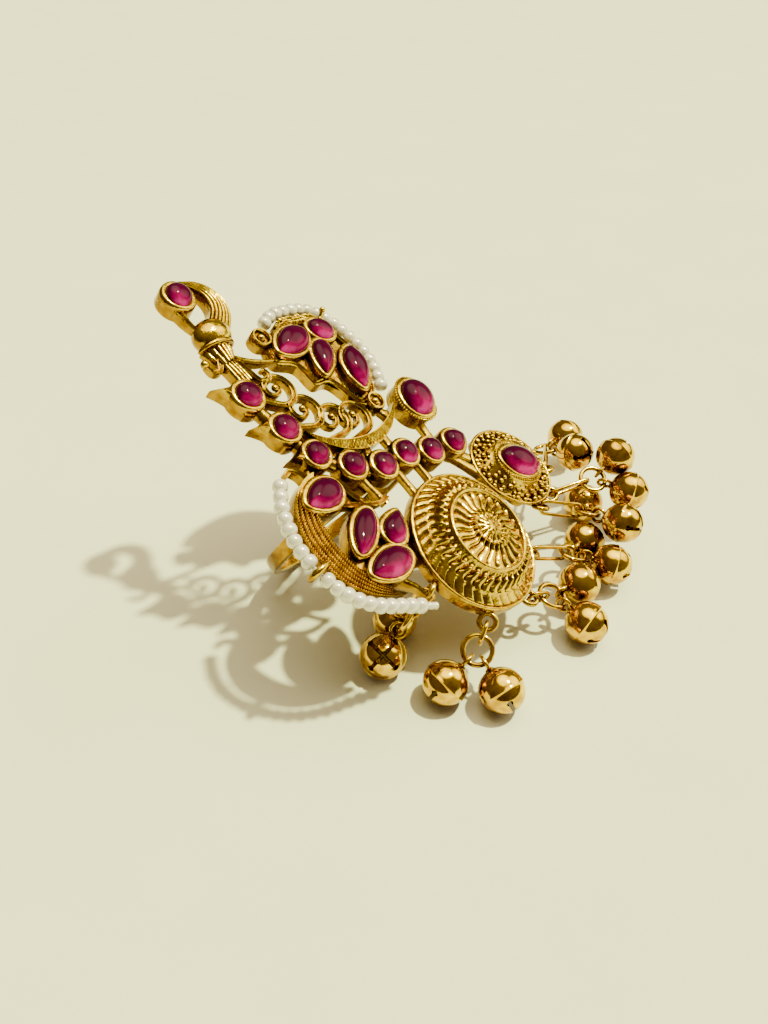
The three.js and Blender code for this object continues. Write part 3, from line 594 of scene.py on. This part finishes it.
def head_shells():
    """Plume, cap, band, collar, neck and the rods of the head."""
    shells = [fluted(**vars(PLUME)), cap(), head_band(), fluted(**vars(COLLAR)), fluted(**vars(NECK))]
    return [*shells, ball(HOOK_TIP.spot, HOOK_TIP.radius), *rods("head")]


# The arc, the moon and the scrolls
def flame(row):
    """A flame-shaped plate with a chamfered edge round its stone."""
    outline = turned(traced(FLAME_START, FLAME_SIDES), row.x, row.y, row.turn, row.size)
    return taper(outline, (row.x, row.y), FLAME_SECTION)


def crescent_edges(row):
    """The two arcs of a crescent, from horn to horn."""
    meet = acos((row.outer**2 + row.shift**2 - row.inner**2) / (2 * row.outer * row.shift))
    inner_meet = atan2(row.outer * sin(meet), row.outer * cos(meet) - row.shift)
    edges = []
    for radius, start, shift in ((row.outer, meet, 0), (row.inner, inner_meet, row.shift)):
        t = np.linspace(start, 2 * pi - start, row.steps + 1)
        arc = np.column_stack([shift + radius * np.cos(t), radius * np.sin(t)])
        edges.append(turned(arc, row.x, row.y, row.turn))
    return edges


def moon():
    """A cross-hatched crescent with raised edges."""
    def top(along, over):
        slant = MOON.slant * over
        hatch = np.maximum(np.sin(tau * (MOON.lines * along + slant)),
                           np.sin(tau * (MOON.lines * along - slant)))
        edge = smooth(*MOON.edge_span, np.minimum(over, 1 - over))
        return MOON.high + MOON.hatch * hatch * (1 - edge) + MOON.edge * edge

    outer, inner = crescent_edges(MOON)
    return ribbon(outer, inner, MOON.low, top, MOON.across)


def scroll(row):
    """A double-ridged stem that sweeps round an open loop and curls up."""
    share = np.linspace(0, 1, SCROLL.points)
    settled = smooth(*SCROLL.settles, share)
    closed = smooth(*SCROLL.closes, share)
    reach = row.radius + (SCROLL.curl - row.radius) * settled + (SCROLL.eye - SCROLL.curl) * closed
    away = np.array(row.foot) - (row.x, row.y)
    touch = atan2(away[1], away[0]) + acos(row.radius / norm(away))
    angle = touch + tau * SCROLL.turns * share
    centre = np.array((row.x, row.y)) + row.radius * np.outer(settled, SCROLL.shift)
    winding = centre + reach[:, None] * np.column_stack([np.cos(angle), np.sin(angle)])
    stem = twin_rod([row.foot, *winding], SCROLL.wire, SCROLL.height, SCROLL.steps, SCROLL.thick, SCROLL.thin)
    return [stem, ball((*centre[-1], SCROLL.height + SCROLL.lift), SCROLL.knob, **LARGE)]


def arc_shells():
    """The bands under the small stones, flames, moon, scrolls and struts."""
    names = [f"arc_{i}" for i in range(BAND.first, BAND.last + 1)]
    arc = [(stone.x, stone.y) for stone in STONES if stone.name in names]
    bands = [flat(curve(route, BAND.steps), BAND.height) for route in (arc, BAND.run)]
    shells = [tube(path, BAND.radius, BAND.sides) for path in bands]
    shells += [flame(row) for row in FLAMES] + [moon()]
    for row in SCROLLS:
        shells += scroll(row)
    return shells + [strut(row) for row in STRUTS]


# The wings
def string_path(name, steps):
    """A pearl string's line on the plate."""
    return flat(curve(STRINGS[name].route, steps), STRINGS[name].height)


def upper_outline():
    """The upper wing's outline, a small distance from its pearls."""
    path = string_path("upper", UPPER_STEPS.edge)[::-1, :2]
    edge = path + PEARL.clear * left_of(path)
    corners = np.vstack([curve(UPPER_WEB, UPPER_STEPS.web), edge])
    return counter_clockwise(even_loop(corners, UPPER_STEPS.outline))


def lip(x, y):
    """A hollow tube end with a small dome in it."""
    levels = {"plate": 0.0, "top": LIPS.high}
    section = [Row(out=row.out, height=levels[row.level] + row.over) for row in LIP_SECTION]
    return [stack(ring_of(LIPS.radius, LIPS.sides) + (x, y), section),
            ball((x, y, LIPS.high - LIPS.sunk), LIPS.dome)]


def granules():
    """A raised strip of fine grains beside the upper pearls."""
    path = string_path("upper", STRIP.steps)[STRIP.first:STRIP.last]
    inward = flat(-left_of(path[:, :2]), 0)
    chance = np.random.default_rng(STRIP.seed)
    shells = [sweep(path + STRIP.depth * inward, np.array(STRIP.section))]
    for depth in STRIP.rows:
        for spot, away in zip(path[::STRIP.every], inward[::STRIP.every]):
            centre = spot + away * (depth + STRIP.aside * chance.uniform(-1, 1))
            centre[2] = STRIP.top
            shells.append(ball(centre, STRIP.grain * chance.uniform(*STRIP.sizes), **SMALL))
    return shells


def upper_shells():
    """The upper wing: web, grains, peg and lips."""
    peg = even(np.array([PEG.foot, PEG.top]), PEG.steps)
    shells = [stack(upper_outline(), UPPER_SECTION), *granules()]
    shells += [tube(peg, PEG.radius), ball(PEG.top, PEG.knob)]
    for x, y in LIPS.spots:
        shells += lip(x, y)
    return shells


def feathers():
    """A crescent of beaded ridges along the pearls, smooth at its upper end."""
    def top(along, over):
        ridge = np.abs(np.sin(pi * FEATHERS.ridges * over)) ** FEATHERS.fullness
        beaded = 0.5 + 0.5 * np.cos(tau * FEATHERS.beads * along)
        carved = smooth(*FEATHERS.carved, along)
        return FEATHERS.high + carved * (FEATHERS.groove * (ridge - 1) + FEATHERS.bead * ridge * (beaded - 1))

    outer, inner = crescent_edges(FEATHERS)
    path = string_path("lower", STRING_STEPS)[:, :2]
    beside = path + FEATHERS.clear * left_of(path)
    first, last = (np.argmin(norm(beside - horn, axis=1)) for horn in (outer[0], outer[-1]))
    beside = even(beside[first:last + 1], len(outer) - 1)
    reach = np.sqrt(np.sin(np.linspace(0, pi, len(outer)))[:, None])
    outer = outer + reach * (beside - outer)
    return ribbon(outer, inner, FEATHERS.low, top, FEATHERS.fine * FEATHERS.ridges + 1)


def beads(name):
    """The places of a string's pearls and the way it runs there."""
    path = string_path(name, STRING_STEPS)
    length = norm(np.diff(path, axis=0), axis=1).sum()
    spots = even(path, 2 * round(length / PEARL.pitch))[1::2]
    return spots, unit(np.gradient(spots, axis=0))


def across_string(axis, spot):
    """A place on a string with its z axis along the string."""
    return facing(unit(np.cross(UP, axis)), axis, spot)


def clipped(spots):
    """The number of the pearl whose place the clip takes."""
    return np.argmin(norm(spots[:, :2] - CLIP.spot, axis=1))


def clip():
    """A wire clip round the lower pearl string."""
    spots, ahead = beads("lower")
    at = clipped(spots)
    return moved(torus(CLIP.radius, CLIP.wire), across_string(ahead[at], spots[at]))


def lower_shells():
    """The lower wing: feathers, clip, web and rods."""
    outline = counter_clockwise(even_loop(np.array(LOWER_WEB), LOWER_STEPS))
    return [feathers(), clip(), stack(outline, LOWER_SECTION), *rods("lower")]


# The medallion
def medallion_height(radius, angle):
    """The medallion's upper face."""
    height = np.interp(radius, [row.radius for row in MEDALLION_BASE], [row.height for row in MEDALLION_BASE])
    for ring in MEDALLION_RINGS:
        along = (radius - ring.low) / (ring.high - ring.low)
        slant = ring.lean * (radius - ring.low) + ring.wave * np.sin(tau * along)
        ridge = np.abs(np.cos(ring.count / 2 * (angle - slant))) ** MEDALLION.fullness
        starts = smooth(ring.low, ring.low + MEDALLION.fade, radius)
        ends = smooth(ring.high, ring.high - MEDALLION.fade, radius)
        height = height + ring.depth * (ridge - 1) * (starts * ends)
    for knob in MEDALLION_KNOBS:
        row = np.exp(-(((radius - knob.radius) / knob.half) ** 2))
        height = height + knob.high * row * np.cos(knob.count / 2 * angle) ** 2
    for wire in MEDALLION_WIRES:
        height = height + wire.high * np.sqrt(np.clip(1 - ((radius - wire.radius) / wire.half) ** 2, 0, 1))
    return height


def medallion_shells():
    """The domed medallion, hollow underneath."""
    angle = full_turn(MEDALLION.steps)
    circle = ring_of(1.0, MEDALLION.steps)
    rings = [flat(row.radius * circle, row.height) for row in MEDALLION_BACK]
    for radius in np.concatenate([np.linspace(row.start, row.end, row.rings) for row in MEDALLION_CUTS]):
        height = medallion_height(np.full(MEDALLION.steps, radius), angle)
        rings.append(np.column_stack([radius * circle, height]))
    return [skin(np.array(rings) + (MEDALLION.x, MEDALLION.y, 0))]


# The flower
def flower_oval(angle, grow):
    """Points on the flower's oval, grown by a distance."""
    oval = np.column_stack([(FLOWER.long + grow) * np.cos(angle), (FLOWER.short + grow) * np.sin(angle)])
    return turned(oval, FLOWER.x, FLOWER.y, FLOWER.turn)


def flower_grains():
    """Rows of uneven grains on the flower's slope."""
    chance = np.random.default_rng(FLOWER.seed)
    grains = []
    for row in FLOWER_GRAINS:
        along = np.arange(row.count) + chance.uniform(0, FLOWER.stray, row.count)
        spots = flower_oval(along * tau / row.count, row.grow)
        for (x, y), swell in zip(spots, chance.uniform(*FLOWER.sizes, row.count)):
            grains.append(ball((x, y, row.height), row.size * swell))
    return grains


def flower_shells():
    """The scalloped rim, the cone up to the stone, a wire and the grains."""
    angle = full_turn(FLOWER.steps)
    scallop = FLOWER.dip * (np.abs(np.cos(FLOWER.lobes * angle / 2)) - 1) * FLOWER.cut
    rim = stack(flower_oval(angle, scallop), FLOWER_RIM)
    cone = taper(flower_oval(angle, 0), (FLOWER.x, FLOWER.y), FLOWER_CONE)
    wire_path = flat(flower_oval(angle, FLOWER_WIRE.grow), FLOWER_WIRE.height)
    return [rim, cone, tube(wire_path, FLOWER_WIRE.radius, looped=True), *flower_grains()]


# The shank
def shank_section():
    """The strip's rounded section: across the strip, and outwards."""
    half_width, half_thick, soft = SHANK.width / 2, SHANK.thick / 2, SHANK.round
    points = []
    for side, over, start in [(1, -1, 270), (1, 1, 0), (-1, 1, 90), (-1, -1, 180)]:
        for turn in np.radians(start + np.linspace(0, 90, SHANK.corner_steps)):
            points.append((side * (half_width - soft) + soft * cos(turn),
                           over * (half_thick - soft) + soft * sin(turn)))
    return np.array(points)


def shank_shells():
    """A strip bent to a round loop about the finger's axis."""
    circle = ring_of(SHANK.radius - SHANK.thick / 2, SHANK.steps)
    path = np.column_stack([circle[:, 0], np.zeros(SHANK.steps), circle[:, 1]])
    across, outwards = shank_section().T
    aside = np.outer(across, FINGER)
    rings = [spot + aside + np.outer(outwards, way) for spot, way in zip(path, unit(path))]
    return [skin(rings, looped=True)]


# The hangings
def hang(chain):
    """The places of a chain's parts over the table."""
    turn = radians(chain.angle)
    if chain.rim == "flower":
        spot = flower_oval(np.array([turn]), EYELET.flower_stand)[0]
    else:
        reach = MEDALLION.radius + EYELET.stand
        spot = np.array((MEDALLION.x + reach * cos(turn), MEDALLION.y + reach * sin(turn)))
    eyelet = (PLATE_ON_TABLE @ np.array([*spot, EYELET.height, 1]))[:3]
    first, second = (np.array(bell) for bell in chain.bells)
    middle, across = (first + second) / 2, unit(second - first)
    upward = eyelet - middle
    upward = unit(upward - across * (upward @ across))
    half = norm(second - first) / 2
    centre = middle + upward * sqrt((JUMP.radius + LOOP.reach) ** 2 - half**2)
    axis = np.cross(across, upward)
    span = norm(eyelet - centre) - JUMP.radius
    along = unit(eyelet - centre)
    bells = []
    for bell in (first, second):
        rise = unit(centre - bell)
        bells.append(facing(np.cross(axis, rise), rise, bell))
    link_spot = centre + along * (JUMP.radius + (span - LINK.past) / 2)
    return Row(
        eyelet=facing(along, axis, eyelet),
        jump=facing(unit(first - centre - axis * ((first - centre) @ axis)), axis, centre),
        link=facing(along, np.cross(axis, along), link_spot),
        span=span,
        bells=bells,
    )


def link_shell(span):
    """A wire link drawn out along x."""
    straight = (span + LINK.past) / 2 - LINK.half_width
    path = flat(ring_of(LINK.half_width, LINK.steps, pi / LINK.steps), 0)
    path[:, 0] += np.sign(path[:, 0]) * straight
    return tube(path, LINK.wire, looped=True)


def bell_radius(polar):
    """A bell's radius: the lower half sits inside the upper half's rolled edge."""
    step = smooth(SEAM.polar - SEAM.before, SEAM.polar + SEAM.after, polar)
    roll = np.exp(-(((polar - SEAM.polar + SEAM.above) / SEAM.half) ** 2))
    return BELL.radius * (1 - SEAM.drop * step + SEAM.roll * roll)


def half_gap(polar, out):
    """Half the angle between two petals: a slit that starts in a round hole."""
    opening = SLIT.half * np.sqrt(smooth(SLIT.polar, SLIT.polar + SLIT.opens, polar))
    hole = SLIT.hole * np.exp(-(((polar - SLIT.polar - SLIT.hole_at) / SLIT.hole_half) ** 2))
    return np.arcsin(np.clip((opening + hole * (polar > SLIT.polar)) / out, 0, SLIT.widest))


def bell_petals():
    """Points over a bell's petals, which meet above the slits."""
    upper = np.linspace(BELL.top, SLIT.polar, BELL.upper_rings)
    lower = np.linspace(SLIT.polar, BELL.mouth, BELL.lower_rings)
    polar = np.concatenate([upper, lower[1:]])
    radius = bell_radius(polar)
    out, high = radius * np.sin(np.radians(polar)), radius * np.cos(np.radians(polar))
    gap = half_gap(polar, out)
    out, high, gap = out[:, None], high[:, None], gap[:, None]
    share = np.linspace(0, 1, BELL.steps + 1)
    width = tau / BELL.petals
    for petal in range(BELL.petals):
        angle = petal * width + gap + share * (width - 2 * gap)
        yield np.stack([out * np.cos(angle), out * np.sin(angle), high + 0 * angle], -1)


def bell_ball():
    """A thin hollow ball whose lower half is slit into petals."""
    build = bmesh.new()
    for spots in bell_petals():
        grid = [[build.verts.new(spot) for spot in line] for line in spots]
        for upper, lower in zip(grid[:-1], grid[1:]):
            for k in range(BELL.steps):
                build.faces.new((upper[k], lower[k], lower[k + 1], upper[k + 1]))
    bmesh.ops.remove_doubles(build, verts=build.verts, dist=WELD)
    top_edges = [edge for edge in build.edges if edge.is_boundary and edge.verts[0].co.z > 0]
    bmesh.ops.holes_fill(build, edges=top_edges, sides=0)
    bmesh.ops.recalc_face_normals(build, faces=build.faces)
    bmesh.ops.solidify(build, geom=build.faces[:], thickness=BELL.wall)
    build.verts.index_update()
    points = np.array([vert.co for vert in build.verts])
    # Sorted, because the faces along the slits come in another order each run
    faces = sorted([vert.index for vert in face.verts] for face in build.faces)
    build.free()
    return points, faces


def bell_shells(slit_side):
    """A bell with its loop and the solder at its foot, slit on the given side."""
    loop = moved(torus(LOOP.radius, LOOP.wire), np.array(Matrix.Rotation(pi / 2, 4, "Y")))
    loop = (loop[0] + (0, 0, LOOP.reach), loop[1])
    turn = Vector(SLIT_BELOW).rotation_difference(Vector(slit_side)).to_matrix().to_4x4()
    return [moved(bell_ball(), turn), loop, ball((0, 0, BELL.radius), SOLDER.radius, SOLDER.squash)]


# The pearls
def bead(size):
    """A pearl about the z axis, flatter where its neighbours touch."""
    circle = ring_of(PEARL.radius * size, PEARL.sides)
    polar = np.linspace(pi - PEARL.end, PEARL.end, PEARL.rings)
    return skin([flat(circle * sin(p) ** PEARL.fullness, PEARL.length * cos(p)) for p in polar])


def knot(spot, ahead):
    """The uneven knot at a thread's end."""
    line = even(np.array([spot, spot + KNOT.length * ahead]), KNOT.steps)
    return tube(line, KNOT.radius, scale=1 + KNOT.swell * np.sin(KNOT.twist * np.arange(KNOT.steps + 1)))


def pearl_shells(name):
    """Uneven pearls on a thread; the lower string has a clip and ends in a knot."""
    path = string_path(name, THREAD.steps)
    spots, ahead = beads(name)
    chance = np.random.default_rng(PEARL.seed)
    shells = [tube(path, THREAD.radius)]
    skipped = clipped(spots) if name == "lower" else None
    for i, (spot, axis) in enumerate(zip(spots, ahead)):
        size = 1 + PEARL.uneven * chance.uniform(-1, 1)
        axis = unit(axis + PEARL.tilt * chance.uniform(-1, 1, 3))
        if i != skipped:
            shells.append(moved(bead(size), across_string(axis, spot)))
    if name == "lower":
        shells.append(knot(path[-1], ahead[-1]))
    return shells


# Looks: colours, and their places on a ramp
BLACK = (0, 0, 0)
WHITE = (1, 1, 1)
NOISE_SPAN = (0.3, 0.7)
# In each gold, deep is the brown patina and painted shade of its recesses, and wall is the painted shade of
# faces turned away from the plate's up
GOLDS = table(
    "name bright deep wall rough hammer reach",
    ("antique_gold", (0.93, 0.68, 0.004), (0.32, 0.14, 0), (0.38, 0.29, 0.2), (0.105, 0.21), 0.6, 0.0014),
    ("polished_gold", (0.93, 0.65, 0.005), (0.16, 0.05, 0), (0.8, 0.68, 0.5), (0.07, 0.14), 0.1, 0.0024),
)
STAIN = (0.56, 0.46, 0.3)
# Ruby colours over a stone's turn to the glow side: painted shade in the base colour and a painted glow in
# the emission
RUBY_PAINTED_SHADE = Row(places=(0.05, 0.55, 1), colours=((0.03, 0, 0.013), (0.055, 0, 0.02), (0.22, 0, 0.065)))
RUBY_PAINTED_GLOW = Row(places=(0.5, 0.84, 1), colours=(BLACK, (0.4, 0, 0.09), (1.7, 0.08, 0.5)))
PEARL_TINTS = ((0.72, 0.67, 0.56), (0.84, 0.82, 0.74))
PAPER_TINTS = ((0.81, 0.84, 0.6), (0.84, 0.87, 0.63))
# Painted glow: a stone is painted pale pink and glows on the side turned to the viewer, and is painted dark
# on the other side
PAINTED_GLOW_SIDE = Vector((-0.33, -0.94, 0.06)).normalized()


# Nodes
def material(name):
    """A new node material and its shader."""
    made = bpy.data.materials.new(name)
    made.use_nodes = True
    return made, made.node_tree, made.node_tree.nodes["Principled BSDF"]


def fill(tree, made, inputs):
    """A node's inputs: outputs of other nodes are linked, values set."""
    for key, value in inputs.items():
        if isinstance(value, bpy.types.NodeSocket):
            tree.links.new(value, made.inputs[key])
        else:
            made.inputs[key].default_value = value


def node(tree, kind, inputs=None, **options):
    """A node with its options and inputs."""
    made = tree.nodes.new("ShaderNode" + kind)
    for key, value in options.items():
        setattr(made, key, value)
    fill(tree, made, inputs or {})
    return made


def ramp(tree, source, places, colours):
    """A colour ramp over a source, with colours at rising places."""
    made = node(tree, "ValToRGB", {"Fac": source})
    elements = made.color_ramp.elements
    for element, place, colour in zip(elements, places, colours):
        element.position, element.color = place, (*colour, 1)
    for place, colour in zip(places[2:], colours[2:]):
        elements.new(place).color = (*colour, 1)
    return made.outputs["Color"]


def noise(tree, scale, detail=3.0):
    """Noise in object space; its scale is in cells a metre."""
    spot = node(tree, "TexCoord").outputs["Object"]
    return node(tree, "TexNoise", {"Vector": spot, "Scale": scale, "Detail": detail}).outputs["Fac"]


def bump(tree, source, strength, depth):
    """Normals bumped by a source."""
    inputs = {"Height": source, "Strength": strength, "Distance": depth}
    return node(tree, "Bump", inputs).outputs["Normal"]


def spread(tree, source, low, high):
    """Noise mapped to a range."""
    least, most = NOISE_SPAN
    inputs = {"Value": source, "From Min": least, "From Max": most, "To Min": low, "To Max": high}
    return node(tree, "MapRange", inputs).outputs["Result"]


def times(tree, first, second):
    """One colour multiplied by another."""
    inputs = {"Factor": 1.0, "A": first, "B": second}
    return node(tree, "Mix", inputs, data_type="RGBA", blend_type="MULTIPLY").outputs["Result"]


def towards(tree, source, way):
    """How far a direction points towards another."""
    return node(tree, "VectorMath", {0: source, 1: way}, operation="DOT_PRODUCT").outputs["Value"]


def turned_to(tree, way):
    """How far a surface is turned to a direction."""
    return towards(tree, node(tree, "TexCoord").outputs["Normal"], way)


# Materials
def gold(look):
    """Gold with brown patina and painted shade in its recesses, painted shade on its walls, and a fine cast
    skin.
    """
    made, tree, shader = material(look.name)
    # Brown patina and painted shade: ambient occlusion darkens hollows, the insides of bells and where parts
    # touch, towards the deep colour
    hollow = node(tree, "AmbientOcclusion", {"Distance": look.reach}, samples=6)
    patina_and_painted_shade = ramp(tree, hollow.outputs["AO"], places=(0.25, 0.85), colours=(look.deep, look.bright))
    stain = ramp(tree, noise(tree, scale=900), places=(0.34, 0.6), colours=(STAIN, WHITE))
    # Painted shade: faces turned away from the plate's up are darkened towards the wall colour
    faces = ramp(tree, turned_to(tree, PLATE_UP), places=(0.2, 0.8), colours=(look.wall, WHITE))
    cast = noise(tree, scale=2600, detail=4.0)
    fill(tree, shader, {
        "Base Color": times(tree, times(tree, patina_and_painted_shade, stain), faces),
        "Roughness": spread(tree, noise(tree, scale=1300), *look.rough),
        "Normal": bump(tree, cast, strength=look.hammer, depth=0.00008),
        "Metallic": 1.0,
    })
    return made


def ruby():
    """Magenta glass with painted shade towards the light and a painted pink glow on the far side."""
    made, tree, shader = material("ruby_glass")
    cloud = spread(tree, noise(tree, scale=500), low=-0.2, high=0.2)
    # Painted glow and shade: side is how far a face turns to the glow side, and depth adds a random cloud to
    # it
    side = turned_to(tree, PAINTED_GLOW_SIDE)
    depth = node(tree, "Math", {0: side, 1: cloud}, operation="ADD").outputs["Value"]
    # Painted shade in the base colour and a painted glow in the emission, strongest on the glow side
    fill(tree, shader, {
        "Base Color": ramp(tree, depth, **vars(RUBY_PAINTED_SHADE)),
        "Emission Color": ramp(tree, depth, **vars(RUBY_PAINTED_GLOW)),
        "Emission Strength": 0.34,
        "Roughness": spread(tree, noise(tree, scale=1500), low=0.03, high=0.08),
        "IOR": 1.45,
        "Specular IOR Level": 0.15,
    })
    return made


def nacre():
    """A pale warm white with a soft lustre and faint tints."""
    made, tree, shader = material("nacre")
    fill(tree, shader, {
        "Base Color": ramp(tree, noise(tree, scale=600), NOISE_SPAN, PEARL_TINTS),
        "Roughness": spread(tree, noise(tree, scale=1800), low=0.12, high=0.26),
        "Normal": bump(tree, noise(tree, scale=1600), strength=0.15, depth=0.00006),
        "Metallic": 0.25,
        "Coat Weight": 0.6,
        "Coat Roughness": 0.1,
    })
    return made


def paper():
    """Pale cream paper with a faint tooth."""
    made, tree, shader = material("paper")
    tooth = noise(tree, scale=900, detail=5.0)
    fill(tree, shader, {
        "Base Color": ramp(tree, noise(tree, scale=60), NOISE_SPAN, PAPER_TINTS),
        "Normal": bump(tree, tooth, strength=0.1, depth=0.00008),
        "Roughness": 0.85,
    })
    return made


# The finish of each slot, and the angle in degrees over which its edges stay sharp
CAST_GOLD, BRIGHT_GOLD = [gold(look) for look in GOLDS]
FINISHES = {
    "cast_gold": Row(material=CAST_GOLD, sharp=38),
    "bright_gold": Row(material=BRIGHT_GOLD, sharp=38),
    "ruby": Row(material=ruby(), sharp=60),
    "pearl": Row(material=nacre(), sharp=80),
}


# Pieces
def joined(shells):
    """Several shells as one list of points and one of faces."""
    points, faces, start = [], [], 0
    for shell_points, shell_faces in shells:
        points.append(shell_points)
        faces += [[start + corner for corner in face] for face in shell_faces]
        start += len(shell_points)
    return np.vstack(points).tolist(), faces


def shown(name, data):
    """A new object in the scene."""
    made = bpy.data.objects.new(name, data)
    bpy.context.scene.collection.objects.link(made)
    return made


def piece(name, shells, place, slot, replaced):
    """One object from closed shells, shown in place of the CAD node it stands for, which it hides."""
    points, faces = joined(shells)
    mesh = bpy.data.meshes.new(name)
    mesh.from_pydata(points, [], faces)
    build = bmesh.new()
    build.from_mesh(mesh)
    bmesh.ops.recalc_face_normals(build, faces=build.faces)
    build.to_mesh(mesh)
    build.free()
    mesh.transform(place)
    mesh.shade_smooth()
    mesh.set_sharp_from_angle(angle=radians(FINISHES[slot].sharp))
    mesh.materials.append(FINISHES[slot].material)
    made = shown(name, mesh)
    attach(made, "root")
    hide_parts(replaced)


hangings = {chain.name: hang(chain) for chain in CHAINS}

# The casting: the plate in its pieces, the shank and the eyelets
PLATE = {
    "stone_settings": setting_shells,
    "head_and_plume": head_shells,
    "arc_and_moon": arc_shells,
    "upper_wing": upper_shells,
    "lower_wing": lower_shells,
    "medallion": medallion_shells,
    "flower_setting": flower_shells,
}
for name, make in PLATE.items():
    piece(name, make(), PLATE_PLACE, "cast_gold", "ring_frame")
piece("strip_shank", shank_shells(), SHANK_PLACE, "cast_gold", "ring_frame")
eyelets = [moved(torus(EYELET.radius, EYELET.wire), places.eyelet) for places in hangings.values()]
piece("eyelets", eyelets, TABLE_PLACE, "cast_gold", "ring_frame")

# Stones and pearls
for stone in STONES:
    piece(f"cabochon_{stone.name}", [cabochon(stone)], PLATE_PLACE, "ruby", f"stone_{stone.name}")
for name in STRINGS:
    piece(f"pearls_{name}", pearl_shells(name), PLATE_PLACE, "pearl", f"pearl_string_{name}")

# Links, jump rings and bells
for name, places in hangings.items():
    link = moved(link_shell(places.span), places.link)
    piece(f"wire_link_{name}", [link], TABLE_PLACE, "bright_gold", f"link_{name}")
    jump_ring = moved(torus(JUMP.radius, JUMP.wire), places.jump)
    piece(f"wire_jump_ring_{name}", [jump_ring], TABLE_PLACE, "bright_gold", f"jump_ring_{name}")
    for i, place in enumerate(places.bells, 1):
        viewer = SLIT_TO_VIEWER.get(f"{name}_{i}")
        slit_side = SLIT_BELOW if viewer is None else place[:3, :3].T @ viewer
        shells = [moved(shell, place) for shell in bell_shells(slit_side)]
        piece(f"slit_bell_{name}_{i}", shells, TABLE_PLACE, "bright_gold", f"bell_{name}_{i}")

# Stage: floor, light and camera; the room's tones rise towards the middle of its windows
FLOOR_HALF = 3.0
SUN = Row(energy=6.6, angle=2.6, colour=(1.0, 1.02, 0.53), way=(0.356, -0.189, 0.91))
WINDOWS = [(0.2, 0.13, 0.97), (0.71, -0.346, 0.547)]
ROOM = Row(
    places=(0.1, 0.86, 0.91, 1.0),
    colours=((0.12, 0.08, 0.05), (0.24, 0.17, 0.1), (3.1, 2.6, 1.75), (5.0, 4.2, 2.8)),
)
CAMERA = Row(spot=(-48.65, -51.64, 70.0), down=40.7, heading=-47.5, focal_px=832.0, tall_px=1024, sensor=36.0)


def floor():
    """A pale sheet under the ring."""
    corners = [(x * FLOOR_HALF, y * FLOOR_HALF, 0) for x, y in ((-1, -1), (1, -1), (1, 1), (-1, 1))]
    mesh = bpy.data.meshes.new("floor")
    mesh.from_pydata(corners, [], [(0, 1, 2, 3)])
    mesh.materials.append(paper())
    made = shown("floor", mesh)


def sun():
    """A warm sun."""
    lamp = bpy.data.lights.new("sun", "SUN")
    lamp.energy = SUN.energy
    lamp.angle = radians(SUN.angle)
    lamp.color = SUN.colour
    shown("sun", lamp).rotation_euler = Vector(SUN.way).to_track_quat("Z", "Y").to_euler()


def room():
    """A dim warm room with two bright windows."""
    world = bpy.data.worlds.new("room")
    world.use_nodes = True
    tree = world.node_tree
    way = node(tree, "TexCoord").outputs["Generated"]
    windows = {i: towards(tree, way, window) for i, window in enumerate(WINDOWS)}
    nearest = node(tree, "Math", windows, operation="MAXIMUM").outputs["Value"]
    fill(tree, tree.nodes["Background"], {"Color": ramp(tree, nearest, **vars(ROOM))})
    bpy.context.scene.world = world


def camera():
    """A camera at the photograph's angle."""
    lens = bpy.data.cameras.new("camera")
    lens.sensor_width = CAMERA.sensor
    lens.lens = CAMERA.focal_px / CAMERA.tall_px * CAMERA.sensor
    lens.clip_start = MM
    made = shown("camera", lens)
    made.location = TABLE_PLACE @ Vector(CAMERA.spot)
    made.rotation_euler = (radians(90 - CAMERA.down), 0, radians(CAMERA.heading))
    bpy.context.scene.camera = made


floor()
sun()
room()
camera()
